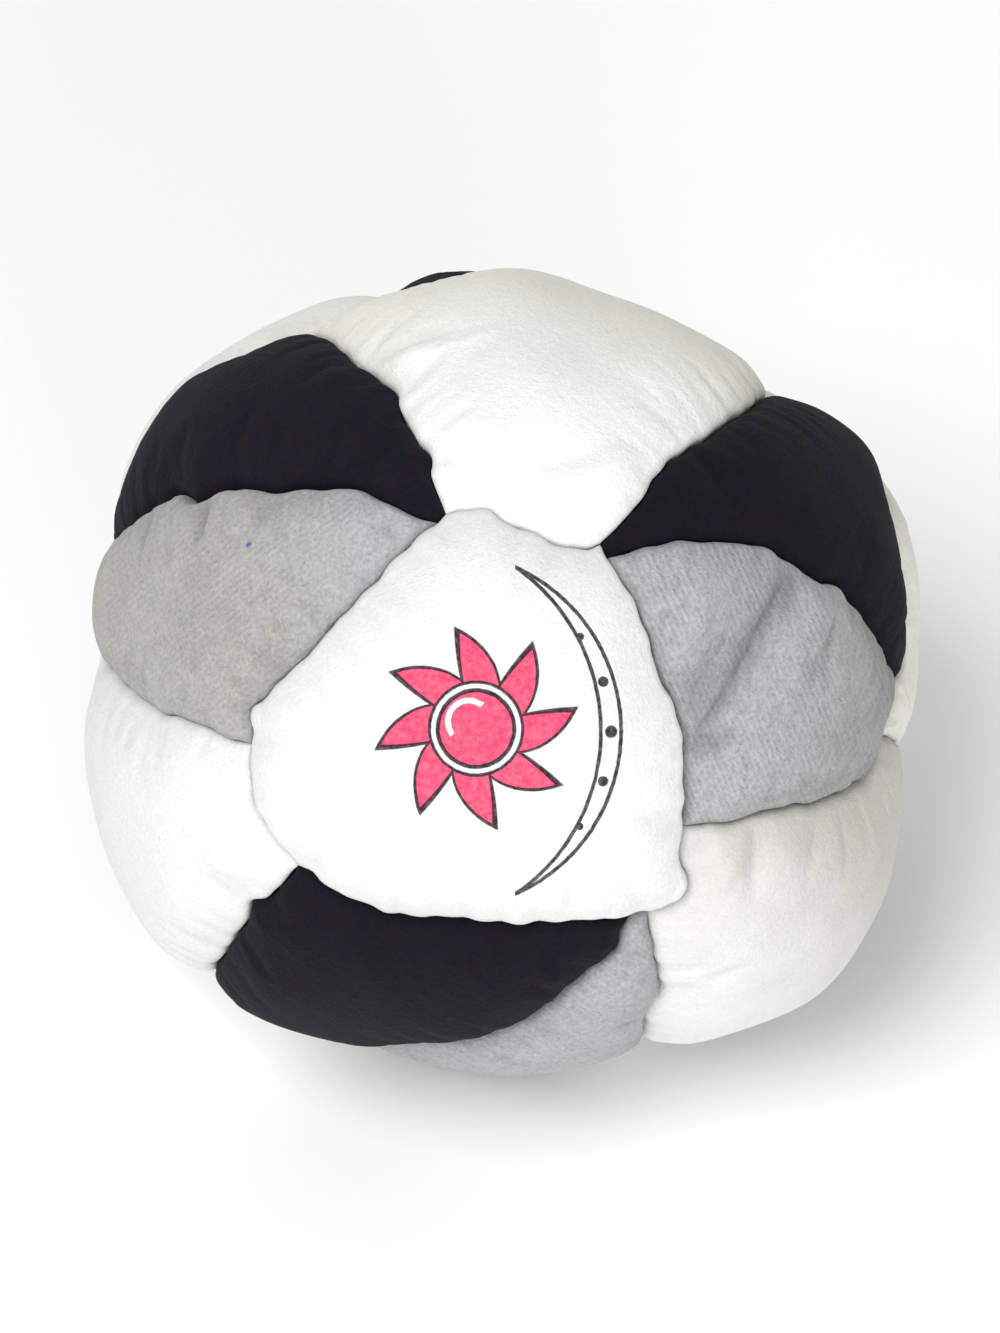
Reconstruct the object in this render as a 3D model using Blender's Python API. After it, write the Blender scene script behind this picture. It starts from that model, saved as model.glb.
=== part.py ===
"""Twenty-panel footbag: eight white panels, twelve grey and black half squares,
the sewing thread of every seam, and the pellet fill.

The panels follow a cuboctahedron. Six squares lie on three crossed axes and are
each cut across from corner to corner into a grey and a black half. The eight
triangles between them are the white panels, and their tips are cut back so that
two whites meet along a short seam wherever two squares come close.

Metres, +Z up, resting on z = 0, front towards -Y. Lengths below are millimetres
until the last step of each mesh.
"""
import math
import bpy
import bmesh
import numpy as np

NAME = "footbag"
MM = 0.001

# ---- driving dimensions (mm) ----
MIDDLE_HEIGHT = 25.2      # middle of the bag above what it rests on
FACING_RADIUS = 26.8      # seam radius on the side towards the drawing and away from it
# seam radius round the outline of the drawing, every 15 degrees from the right, anticlockwise
OUTLINE_RADIUS = (27.3, 28.3, 28.5, 26.7, 25.6, 25.5, 26.6, 26.65, 26.95, 28.2, 28.3, 27.7,
                  27.1, 27.6, 28.3, 28.6, 27.6, 26.0, 26.3, 26.4, 27.5, 29.1, 28.9, 27.4)
PUFF = 1.5                # how far a wide panel stands above its seams
PUFF_REACH = 3.0          # distance from the seam in which most of that rise happens
CLOTH = 0.85              # thickness of a panel
SEAM_GAP = 0.35           # from the seam line to a turned-in edge
FOLD_DROP = 0.65          # depth of the fold below the seam radius
HEM_DEPTH = 2.3           # how deep the turned-in edge reaches
THREAD_DEPTH = 1.05       # depth of the sewing thread in the groove
THREAD_RADIUS = 0.17
THREAD_TRIM = 0.9         # where a seam meets a loop, its thread stops this far short
FILL_DEPTH = 2.7          # top of the fill below the seam radius
REST_BLEND = 1.2          # softness of the edge of the flat resting patch
SHORT_SEAM_HALF = 0.20    # half of a short white seam, as an angle
SIDE_BOW = 0.055          # how far a hidden side curves into its square, as an angle

# ---- the drawing: a perspective view of the front from 400 mm, 47 degrees up ----
LOOK_UP = math.radians(47)
DRAWING_DISTANCE = 400.0
DRAWING_SCALE = 5814.6
DRAWING_MIDDLE = (500.0, 672.0)
RIGHT = np.array([1.0, 0.0, 0.0])
UP = np.array([0.0, math.sin(LOOK_UP), math.cos(LOOK_UP)])
OUT = np.array([0.0, -math.cos(LOOK_UP), math.sin(LOOK_UP)])
VIEW = np.array([RIGHT, UP, OUT])

SIDE_STEPS, SPLIT_STEPS, SHORT_STEPS = 5, 8, 3


def unit(v):
    v = np.asarray(v, float)
    return v / np.linalg.norm(v, axis=-1, keepdims=True)


def outline_radius(phi):
    """Smooth closed curve through the outline's radii."""
    table = np.asarray(OUTLINE_RADIUS)
    n = len(table)
    t = (np.asarray(phi) / math.tau * n) % n
    i = np.floor(t).astype(int)
    f = t - i
    a, b, c, d = (table[(i + k) % n] for k in (-1, 0, 1, 2))
    return b + 0.5 * f * (c - a + f * (2 * a - 5 * b + 4 * c - d + f * (3 * (b - c) + d - a)))


def seam_radius(v):
    """Radius of the bag at seam level along unit vectors of the drawing's axes."""
    v = np.asarray(v)
    edge = np.clip(v[..., 0] ** 2 + v[..., 1] ** 2, 0, 1) ** 2
    phi = np.arctan2(v[..., 1], v[..., 0])
    return FACING_RADIUS + (outline_radius(phi) - FACING_RADIUS) * edge + local(FLUSH, v)


def local(spots, v):
    """Sum of soft round spots: (direction, half width, height in mm)."""
    return sum(h * np.exp(-((v - d) ** 2).sum(-1) / w ** 2) for d, w, h in spots)


def seen(x, y):
    """Direction of a seam point that the drawing shows at (x, y)."""
    ray = np.array([(x - DRAWING_MIDDLE[0]) / DRAWING_SCALE, (DRAWING_MIDDLE[1] - y) / DRAWING_SCALE, -1.0])
    eye = np.array([0.0, 0.0, DRAWING_DISTANCE])
    r = FACING_RADIUS
    for _ in range(12):
        a, b, c = ray @ ray, eye @ ray, eye @ eye - r * r
        left = b * b - a * c
        t = -b / a if left < 0 else (-b - math.sqrt(left)) / a
        d = unit(eye + t * ray)
        r = 0.5 * r + 0.5 * float(seam_radius(d))
    return d


def turned(phi, depth):
    """Direction just round the edge of the drawing, at an angle from its right."""
    c = math.sqrt(1 - depth * depth)
    return np.array([c * math.cos(math.radians(phi)), c * math.sin(math.radians(phi)), -depth])


# seams that lie nearly flush with the panels beside them, and a place where the fill presses less
FLUSH = ((turned(121, -0.15), 0.34, 0.45), (turned(140, -0.12), 0.30, 0.30), (turned(-9, -0.10), 0.24, 0.50),
         (turned(-69, -0.02), 0.18, 0.45))
LOW = ((turned(53, 0.20), 0.20, 0.80),)


# ---- the six squares, on three crossed axes ----
rough = np.array([[-0.659, 0.358, 0.661], [0.733, 0.156, 0.668], [-0.148, -0.876, 0.459]])
left, _, right = np.linalg.svd(rough)
axes = left @ right
SQUARES = {"L": axes[0], "R": axes[1], "B": axes[2], "l": -axes[0], "r": -axes[1], "b": -axes[2]}
SQUARE_NAMES = {"L": "upper_left", "R": "upper_right", "B": "front_low",
                "l": "lower_right", "r": "lower_left", "b": "back"}
NEIGHBOURS = {"L": "RbrB", "R": "LblB", "B": "LRlr", "l": "RbrB", "r": "LblB", "b": "LRlr"}
SPLIT_ENDS = {"L": "Rr", "R": "Ll", "B": "Rr", "l": "Rr", "r": "Ll", "b": "Rr"}
GREY_CORNER = {"L": "B", "R": "B", "B": "l", "l": "b", "r": "b", "b": "l"}

WHITES = {"front": "LRB", "top": "LRb", "left": "LrB", "right": "lRB",
          "back_left": "Lrb", "back_right": "lRb", "bottom": "lrB", "back_low": "lrb"}
CORNERS = ("LR", "LB", "RB", "Lr", "Lb", "Rl", "Rb", "Bl", "Br", "lr", "lb", "rb")
CORNER_NAMES = {"LR": "front_to_top", "LB": "front_to_left", "RB": "front_to_right",
                "Lr": "left_to_back_left", "Lb": "top_to_back_left", "Rl": "right_to_back_right",
                "Rb": "top_to_back_right", "Bl": "right_to_bottom", "Br": "left_to_bottom",
                "lr": "bottom_to_back_low", "lb": "back_right_to_back_low", "rb": "back_left_to_back_low"}

# ends of the short white seams that the drawing shows, "corner.square"
SEEN_ENDS = {
    "LR.L": seen(444, 510), "LR.R": seen(604, 539), "LB.L": seen(245, 746), "LB.B": seen(294, 870),
    "RB.R": seen(688, 831), "RB.B": seen(652, 917), "Lb.L": seen(306, 327), "Lb.b": turned(106, -0.16),
    "Lr.L": turned(163, 0.06), "Rb.R": turned(45.8, 0.03), "Rl.R": seen(888, 736),
    "Bl.B": turned(-69.3, 0.02),
    "Br.B": turned(226.5, 0.02),
    "Lr.r": turned(176, 0.38), "Rl.l": turned(-12, 0.36), "Br.r": turned(214, 0.33), "Rb.b": turned(60, 0.26),
}
# points along the seams that the drawing shows
ALONG = {
    "LR": [seen(487, 507), seen(530, 530), seen(575, 545)],
    "LB": [seen(247, 775), seen(252, 803), seen(271, 838)],
    "RB": [seen(683, 850), seen(688, 886), seen(676, 906)],
    "L/front": [seen(390, 562), seen(345, 610), seen(279, 677), seen(251, 708)],
    "L/left": [seen(216, 735), seen(189, 722), seen(153, 708), seen(116, 675), turned(176, 0.05)],
    "L/back_left": [seen(268, 345), seen(205, 373), seen(166, 406), seen(124, 478), turned(158, 0.02)],
    "L/top": [seen(345, 350), seen(395, 390), seen(414, 434), seen(431, 473)],
    "L/": [seen(410, 513), seen(383, 497), seen(340, 488), seen(254, 490), seen(209, 495), seen(170, 497),
           seen(141, 515), seen(112, 544)],
    "R/front": [seen(640, 610), seen(665, 680), seen(686, 745), seen(685, 795)],
    "R/top": [seen(635, 510), seen(660, 470), seen(690, 446), seen(740, 413)],
    "R/back_right": [turned(37, 0.06), turned(28, -0.01), turned(20, -0.09), turned(11, -0.13), seen(899, 682)],
    "R/right": [seen(735, 823), seen(790, 808), seen(830, 800), seen(864, 779)],
    "R/": [seen(650, 543), seen(700, 538), seen(760, 543), seen(790, 556), seen(834, 584), seen(871, 627),
           seen(888, 657)],
    "B/front": [seen(322, 887), seen(363, 906), seen(420, 918), seen(540, 926), seen(600, 922)],
    "B/left": [seen(276, 889), seen(249, 906), seen(242, 930)],
    "B/right": [seen(654, 950), seen(664, 986), seen(650, 1010)],
    "B/bottom": [turned(272, 0.34), turned(246, 0.28)],
    "B/": [seen(629, 928), seen(614, 951), seen(590, 968), seen(560, 993), seen(510, 1021), seen(440, 1036),
           seen(375, 1047), turned(243, 0.04), turned(234, 0.05)],
    "b/top": [turned(100, -0.165), turned(93, -0.02), turned(79, 0.14)],
}


def corner_end(a, b, end):
    """End of the short seam at corner ab that touches square `end`."""
    other = b if end == a else a
    along = unit(SQUARES[end] - SQUARES[other])
    return unit(unit(SQUARES[a] + SQUARES[b]) * math.cos(SHORT_SEAM_HALF) + along * math.sin(SHORT_SEAM_HALF))


def corner_of(a, b):
    return a + b if a + b in CORNERS else b + a


POINTS = {}
for ab in CORNERS:
    for end in ab:
        key = ab + "." + end
        POINTS[key] = SEEN_ENDS.get(key, corner_end(ab[0], ab[1], end))


def smooth_path(points, steps):
    """Even steps along a smooth curve of directions through the points."""
    p = [np.asarray(q, float) for q in points]
    if len(p) == 2:
        fine = [p[0] * (1 - t) + p[1] * t for t in np.linspace(0, 1, 25)]
    else:
        q = [2 * p[0] - p[1], *p, 2 * p[-1] - p[-2]]
        fine = []
        for i in range(1, len(q) - 2):
            a, b, c, d = q[i - 1:i + 3]
            for f in np.linspace(0, 1, 10, endpoint=False):
                fine.append(b + 0.5 * f * (c - a + f * (2 * a - 5 * b + 4 * c - d + f * (3 * (b - c) + d - a))))
        fine.append(p[-1])
    fine = unit(np.array(fine))
    run = np.r_[0, np.cumsum(np.linalg.norm(np.diff(fine, axis=0), axis=1))]
    at = np.linspace(0, run[-1], steps + 1)
    return unit(np.stack([np.interp(at, run, fine[:, k]) for k in range(3)], 1))


def towards(points, start):
    """The points, turned round if need be so that they lead away from start."""
    if np.linalg.norm(points[0] - start) > np.linalg.norm(points[-1] - start):
        return points[::-1]
    return points


def joined(paths):
    """One closed loop from paths laid end to end, without repeated points."""
    return np.vstack([p[:-1] for p in paths])


# where a split seam runs out beside a corner, not into it: (square, neighbour)
BESIDE_CORNER = {("R", "l"): seen(900, 679)}
SIDES, SPLITS, SHORTS, RINGS = {}, {}, {}, {}
for ab in CORNERS:
    SHORTS[ab] = smooth_path([POINTS[ab + "." + ab[0]], *ALONG.get(ab, []), POINTS[ab + "." + ab[1]]], SHORT_STEPS)

for s, ring in NEIGHBOURS.items():
    sides = []
    for i in range(4):
        n0, n1 = ring[i], ring[(i + 1) % 4]
        white = next(w for w, three in WHITES.items() if set(three) == {s, n0, n1})
        start, stop = POINTS[corner_of(s, n0) + "." + s], POINTS[corner_of(s, n1) + "." + s]
        between = ALONG.get(s + "/" + white)
        if between is None:
            mid = unit(start + stop)
            between = [unit(mid + SIDE_BOW * (SQUARES[s] - mid * (SQUARES[s] @ mid)))]
        between = towards(between, start)
        SIDES[s, white] = (n0, smooth_path([start, *between, stop], SIDE_STEPS))
        sides.append(SIDES[s, white][1])
    edge = joined(sides)
    at = []
    for n in SPLIT_ENDS[s]:
        end = BESIDE_CORNER.get((s, n), POINTS[corner_of(s, n) + "." + s])
        at.append(int(np.argmin(np.linalg.norm(edge - end, axis=1))))
    RINGS[s] = edge, at
    ends = edge[at]
    SPLITS[s] = smooth_path([ends[0], *towards(ALONG.get(s + "/", []) or [unit(ends[0] + ends[1])], ends[0]), ends[1]],
                            SPLIT_STEPS)


def side_path(s, white, first):
    """Side of square s along a white, starting at its corner towards `first`."""
    start, path = SIDES[s, white]
    return path if first == start else path[::-1]


def white_loop(white):
    a, b, c = WHITES[white]
    paths = []
    for s, n_in, n_out in ((a, c, b), (b, a, c), (c, b, a)):
        paths.append(side_path(s, white, n_in))
        ab = corner_of(s, n_out)
        paths.append(SHORTS[ab] if ab[0] == s else SHORTS[ab][::-1])
    return joined(paths)


def half_loop(s, corner):
    """Half of square s that holds the corner towards neighbour `corner`."""
    edge, (a, b) = RINGS[s]
    n = len(edge)
    run = (b - a) % n
    if (NEIGHBOURS[s].index(corner) * SIDE_STEPS - a) % n < run:
        arc = edge[np.arange(a, a + run + 1) % n]
    else:
        arc = edge[np.arange(b, b + n - run + 1) % n]
    return joined([arc, towards(SPLITS[s], arc[-1])])


def edge_distance(v, loop):
    """Distance in mm from directions to the seams of a closed loop."""
    a, b = loop, np.roll(loop, -1, axis=0)
    ab = b - a
    t = np.clip(((v[:, None] - a) * ab).sum(2) / (ab * ab).sum(1), 0, 1)
    return np.linalg.norm(v[:, None] - a - t[..., None] * ab, axis=2).min(1) * FACING_RADIUS


def settle(p, depth):
    """Places in the bag's own frame, flattened where the bag rests."""
    w = p @ VIEW
    z = w[:, 2] + MIDDLE_HEIGHT
    x = z - depth
    soft = depth + (x + REST_BLEND) ** 2 / (4 * REST_BLEND)
    w[:, 2] = np.where(x > REST_BLEND, z, np.where(x < -REST_BLEND, depth, soft))
    return w


def panel_points(loop):
    """Rows of a panel's closed skin: outer face, fold, turned-in edge, inner face."""
    middle = unit(loop.mean(0))
    angle = np.arccos(np.clip(loop @ middle, -1, 1))
    side = unit(np.cross(middle, loop[0]))
    front = np.cross(side, middle)
    flat = (np.stack([loop @ front, loop @ side], 1) / np.sin(angle)[:, None]) * angle[:, None] * FACING_RADIUS
    # the panel's centre is the place furthest inside the lines of all its edges
    a, b = flat, np.roll(flat, -1, axis=0)
    ab = b - a
    turn = np.sign((a[:, 0] * b[:, 1] - a[:, 1] * b[:, 0]).sum())

    def inside(q):
        return turn * (ab[:, 0] * (q[:, None, 1] - a[:, 1]) - ab[:, 1] * (q[:, None, 0] - a[:, 0])) \
            / np.linalg.norm(ab, axis=1)

    grid = np.stack(np.meshgrid(np.linspace(0, 1, 61), np.linspace(0, 1, 61)), -1).reshape(-1, 2)
    grid = flat.min(0) + grid * np.ptp(flat, axis=0)
    best = grid[np.argmax(inside(grid).min(1))]
    away = np.linalg.norm(best) / FACING_RADIUS
    centre = unit(middle * math.cos(away) + (front * best[0] + side * best[1]) / np.linalg.norm(best) * math.sin(away))
    line = inside(best[None])[0]
    reach = np.clip(np.minimum(line, np.roll(line, 1)), 2.5, 12.0)

    def row(inset=None, share=None):
        s = (1 - inset / reach) if share is None else np.full(len(loop), share)
        full = np.arccos(np.clip(loop @ centre, -1, 1))
        return unit((centre * np.sin((1 - s) * full)[:, None] + loop * np.sin(s * full)[:, None]))

    def face(v, depth):
        swell = PUFF - local(FLUSH, v) - local(LOW, v)
        top = seam_radius(v) + swell * (1 - np.exp(-edge_distance(v, loop) / PUFF_REACH))
        return settle(v * (top - depth)[:, None], depth)

    def below_seam(v, depth):
        return settle(v * (seam_radius(v) - depth)[:, None], depth)

    rows = [face(row(share=0.45), 0.0), face(row(share=0.78), 0.0), face(row(inset=0.95), 0.0),
            below_seam(row(inset=SEAM_GAP), FOLD_DROP), below_seam(row(inset=SEAM_GAP), HEM_DEPTH),
            below_seam(row(inset=SEAM_GAP + 0.7), HEM_DEPTH), face(row(inset=SEAM_GAP + 0.85), CLOTH + 0.25),
            face(row(share=0.6), CLOTH)]
    caps = [face(centre[None], 0.0)[0], face(centre[None], CLOTH)[0]]
    return caps[0], rows, caps[1]


# ---- objects ----
for o in list(bpy.data.objects):
    bpy.data.objects.remove(o, do_unlink=True)
collection = bpy.data.collections.new(NAME)
bpy.context.scene.collection.children.link(collection)
root = bpy.data.objects.new(NAME + "_frame", None)
root.empty_display_size = 0.01
collection.objects.link(root)


def material(name, colour, roughness):
    m = bpy.data.materials.new(name)
    m.use_nodes = True
    shader = m.node_tree.nodes["Principled BSDF"]
    shader.inputs["Base Color"].default_value = (*colour, 1.0)
    shader.inputs["Roughness"].default_value = roughness
    shader.inputs["Metallic"].default_value = 0.0
    m.diffuse_color = (*colour, 1.0)
    return m


WHITE_SUEDE, GREY_SUEDE, BLACK_SUEDE = (0.84, 0.83, 0.80), (0.38, 0.38, 0.37), (0.012, 0.012, 0.015)


def panel(name, loop, colour):
    """A closed skin: a sphere's rows laid on the panel's own rows."""
    top, rows, bottom = panel_points(loop)
    n = len(loop)
    bm = bmesh.new()
    bmesh.ops.create_uvsphere(bm, u_segments=n, v_segments=len(rows) + 1, radius=1.0)
    bm.verts.ensure_lookup_table()
    ordered = sorted(bm.verts, key=lambda v: -v.co.z)
    places = {ordered[0]: top, ordered[-1]: bottom}
    body = ordered[1:-1]
    for k, row in enumerate(rows):
        ring = sorted(body[k * n:(k + 1) * n], key=lambda v: round(math.atan2(v.co.y, v.co.x) % math.tau, 5) % 6.28318)
        for v, p in zip(ring, row):
            places[v] = p
    for v, p in places.items():
        v.co = p * MM
    if bm.calc_volume(signed=True) < 0:
        bmesh.ops.reverse_faces(bm, faces=bm.faces)
    mesh = bpy.data.meshes.new(name)
    bm.to_mesh(mesh)
    bm.free()
    mesh.shade_smooth()
    o = bpy.data.objects.new(name, mesh)
    o.data.materials.append(material(name + "_suede", colour, 0.95))
    o.parent = root
    collection.objects.link(o)
    return o


def thread(name, path, closed, colour=(0.70, 0.70, 0.69)):
    """Sewing thread laid in the groove of a seam."""
    places = settle(path * (seam_radius(path) - THREAD_DEPTH)[:, None], THREAD_DEPTH) * MM
    curve = bpy.data.curves.new(name, "CURVE")
    curve.dimensions = "3D"
    curve.bevel_depth = THREAD_RADIUS * MM
    curve.bevel_resolution = 0
    curve.use_fill_caps = not closed
    spline = curve.splines.new("POLY")
    spline.points.add(len(places) - 1)
    for point, p in zip(spline.points, places):
        point.co = (*p, 1.0)
    spline.use_cyclic_u = closed
    o = bpy.data.objects.new(name, curve)
    o.data.materials.append(material(name + "_cotton", colour, 0.8))
    o.parent = root
    collection.objects.link(o)
    return o


def trimmed(path, trim):
    """The path without the first and last few tenths of a millimetre."""
    run = np.r_[0, np.cumsum(np.linalg.norm(np.diff(path, axis=0), axis=1))]
    cut = trim / FACING_RADIUS
    at = np.r_[cut, [x for x in run if cut * 1.5 < x < run[-1] - cut * 1.5], run[-1] - cut]
    return unit(np.stack([np.interp(at, run, path[:, k]) for k in range(3)], 1))


for white in WHITES:
    panel("white_panel_" + white, white_loop(white), WHITE_SUEDE)
for s in NEIGHBOURS:
    for corner in NEIGHBOURS[s]:
        if corner in SPLIT_ENDS[s]:
            continue
        grey = corner == GREY_CORNER[s]
        panel(("grey_panel_" if grey else "black_panel_") + SQUARE_NAMES[s], half_loop(s, corner),
              GREY_SUEDE if grey else BLACK_SUEDE)

for s, ring in NEIGHBOURS.items():
    paths = []
    for i in range(4):
        n0, n1 = ring[i], ring[(i + 1) % 4]
        white = next(w for w, three in WHITES.items() if set(three) == {s, n0, n1})
        paths.append(side_path(s, white, n0))
    thread("square_seam_thread_" + SQUARE_NAMES[s], joined(paths), True)
    thread("split_seam_thread_" + SQUARE_NAMES[s], trimmed(SPLITS[s], THREAD_TRIM), False)
for ab in CORNERS:
    thread("short_seam_thread_" + CORNER_NAMES[ab], trimmed(SHORTS[ab], THREAD_TRIM), False)

# the fill: one packed mass of pellets, held just inside the turned-in edges
bm = bmesh.new()
bmesh.ops.create_icosphere(bm, subdivisions=3, radius=1.0)
for v in bm.verts:
    d = unit(np.array(v.co))
    v.co = settle((d * (seam_radius(d) - FILL_DEPTH))[None], FILL_DEPTH)[0] * MM
if bm.calc_volume(signed=True) < 0:
    bmesh.ops.reverse_faces(bm, faces=bm.faces)
mesh = bpy.data.meshes.new("pellet_fill")
bm.to_mesh(mesh)
bm.free()
mesh.shade_smooth()
fill = bpy.data.objects.new("pellet_fill", mesh)
fill.data.materials.append(material("pellet_fill_plastic", (0.75, 0.75, 0.72), 0.45))
fill.parent = root
collection.objects.link(fill)

# the bag's box stands centred over the origin, its resting patch at z = 0
points = np.array([v.co[:] for o in collection.objects if o.name.startswith(("white", "grey", "black"))
                   for v in o.data.vertices])
low, high = points.min(0), points.max(0)
root.location = (-(low[0] + high[0]) / 2, -(low[1] + high[1]) / 2, -low[2])
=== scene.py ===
"""Looks of the twenty-panel footbag: suede panels with turned-in hems drawn
together by stitched seams, over a fill of plastic pellets.

Metres, +Z up, resting on z = 0, front towards -Y. Lengths below are millimetres
until a mesh is written.
"""
import math
import bpy
import bmesh
import numpy as np
from mathutils import Matrix, Vector
from mathutils.geometry import delaunay_2d_cdt


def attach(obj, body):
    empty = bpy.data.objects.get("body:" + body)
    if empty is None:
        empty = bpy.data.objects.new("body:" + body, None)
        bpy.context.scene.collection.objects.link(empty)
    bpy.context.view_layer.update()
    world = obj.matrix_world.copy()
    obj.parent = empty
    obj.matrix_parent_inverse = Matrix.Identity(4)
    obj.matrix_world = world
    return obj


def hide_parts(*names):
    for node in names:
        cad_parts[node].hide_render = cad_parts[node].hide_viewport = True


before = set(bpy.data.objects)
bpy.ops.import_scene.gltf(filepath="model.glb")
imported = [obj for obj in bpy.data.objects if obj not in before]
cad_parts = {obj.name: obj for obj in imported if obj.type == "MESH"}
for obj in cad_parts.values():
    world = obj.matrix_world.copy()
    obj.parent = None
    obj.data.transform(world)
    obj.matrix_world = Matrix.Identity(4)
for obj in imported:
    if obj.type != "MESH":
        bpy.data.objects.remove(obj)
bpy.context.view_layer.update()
MM = 0.001
rng = np.random.default_rng(20)

# ---- the shape's dimensions (mm) ----
MIDDLE = np.array([-0.254, 0.130, 25.2])   # middle of the bag in the object's frame
FACING_RADIUS = 26.8
OUTLINE_RADIUS = (27.3, 28.3, 28.5, 26.7, 25.6, 25.5, 26.6, 26.65, 26.95, 28.2, 28.3, 27.7,
                  27.1, 27.6, 28.3, 28.75, 27.35, 26.1, 26.3, 26.4, 27.65, 29.3, 28.9, 27.4)
WHITE_PUFF, HALF_PUFF = 1.65, 1.35       # crown of a panel above its seams
CLOTH = 0.85
FOLD_DROP = 0.70                         # depth of the groove where two folds touch
FOLD_RADIUS = 0.72                       # roundness of a folded edge
EDGE_GAP = 0.05                          # from the seam line to a folded edge
HEM_DEPTH = 2.3
REST_BLEND = 1.2
FILL_DEPTH = 2.9
STITCH = 2.3                             # pitch of the stitches
STITCH_DENT = 0.13
STITCH_PULL = 0.07
CORNER_DENT = 0.40
SEAM_WOBBLE = 0.13
THREAD_RADIUS = 0.14
SHORT_SEAM_HALF = 0.20
SIDE_BOW = 0.055
PITCH = 0.36                             # spacing of mesh points along a seam
GRID = 0.46                              # spacing of mesh points on a panel

# ---- the photograph's view: 47 degrees up, 400 mm from the bag's middle ----
LOOK_UP = math.radians(47)
DISTANCE = 400.0
PX = 5814.6
CENTRE_PX = (500.0, 672.0)
FRAME_PX = (1000.0, 1333.0)
RIGHT = np.array([1.0, 0.0, 0.0])
UP = np.array([0.0, math.sin(LOOK_UP), math.cos(LOOK_UP)])
OUT = np.array([0.0, -math.cos(LOOK_UP), math.sin(LOOK_UP)])
VIEW = np.array([RIGHT, UP, OUT])


def unit(v):
    v = np.asarray(v, float)
    return v / np.linalg.norm(v, axis=-1, keepdims=True)


def outline_radius(phi):
    table = np.asarray(OUTLINE_RADIUS)
    n = len(table)
    t = (np.asarray(phi) / math.tau * n) % n
    i = np.floor(t).astype(int)
    f = t - i
    a, b, c, d = (table[(i + k) % n] for k in (-1, 0, 1, 2))
    return b + 0.5 * f * (c - a + f * (2 * a - 5 * b + 4 * c - d + f * (3 * (b - c) + d - a)))


def seam_radius(v):
    v = np.asarray(v)
    edge = np.clip(v[..., 0] ** 2 + v[..., 1] ** 2, 0, 1) ** 2
    return FACING_RADIUS + (outline_radius(np.arctan2(v[..., 1], v[..., 0])) - FACING_RADIUS) * edge + local(FLUSH, v)


def local(spots, v):
    """Sum of soft round spots: (direction, half width, height in mm)."""
    return sum(h * np.exp(-((v - d) ** 2).sum(-1) / w ** 2) for d, w, h in spots)


def seen(x, y):
    """Direction of a seam point that the photograph's view shows at (x, y)."""
    ray = np.array([(x - CENTRE_PX[0]) / PX, (CENTRE_PX[1] - y) / PX, -1.0])
    eye = np.array([0.0, 0.0, DISTANCE])
    r = FACING_RADIUS
    for _ in range(12):
        a, b, c = ray @ ray, eye @ ray, eye @ eye - r * r
        left = b * b - a * c
        t = -b / a if left < 0 else (-b - math.sqrt(left)) / a
        d = unit(eye + t * ray)
        r = 0.5 * r + 0.5 * float(seam_radius(d))
    return d


def turned(phi, depth):
    """Direction near the edge of that view: depth is how far behind the edge it lies."""
    c = math.sqrt(1 - depth * depth)
    return np.array([c * math.cos(math.radians(phi)), c * math.sin(math.radians(phi)), -depth])


# seams that lie nearly flush with the panels beside them, and places where the fill presses less
FLUSH = ((turned(121, -0.15), 0.34, 0.45), (turned(140, -0.12), 0.30, 0.30), (turned(-9, -0.10), 0.24, 0.80),
         (turned(-69, -0.02), 0.18, 0.45))
LOW = ((turned(53, 0.20), 0.20, 0.80),)

# ---- six squares on three crossed axes, eight white panels between them ----
rough = np.array([[-0.659, 0.358, 0.661], [0.733, 0.156, 0.668], [-0.148, -0.876, 0.459]])
_left, _, _right = np.linalg.svd(rough)
axes = _left @ _right
SQUARES = {"L": axes[0], "R": axes[1], "B": axes[2], "l": -axes[0], "r": -axes[1], "b": -axes[2]}
SQUARE_NAMES = {"L": "upper_left", "R": "upper_right", "B": "front_low",
                "l": "lower_right", "r": "lower_left", "b": "back"}
NEIGHBOURS = {"L": "RbrB", "R": "LblB", "B": "LRlr", "l": "RbrB", "r": "LblB", "b": "LRlr"}
SPLIT_ENDS = {"L": "Rr", "R": "Ll", "B": "Rr", "l": "Rr", "r": "Ll", "b": "Rr"}
GREY_CORNER = {"L": "B", "R": "B", "B": "l", "l": "b", "r": "b", "b": "l"}
WHITES = {"front": "LRB", "top": "LRb", "left": "LrB", "right": "lRB",
          "back_left": "Lrb", "back_right": "lRb", "bottom": "lrB", "back_low": "lrb"}
CORNERS = ("LR", "LB", "RB", "Lr", "Lb", "Rl", "Rb", "Bl", "Br", "lr", "lb", "rb")
CORNER_NAMES = {"LR": "front_to_top", "LB": "front_to_left", "RB": "front_to_right",
                "Lr": "left_to_back_left", "Lb": "top_to_back_left", "Rl": "right_to_back_right",
                "Rb": "top_to_back_right", "Bl": "right_to_bottom", "Br": "left_to_bottom",
                "lr": "bottom_to_back_low", "lb": "back_right_to_back_low", "rb": "back_left_to_back_low"}

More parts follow.
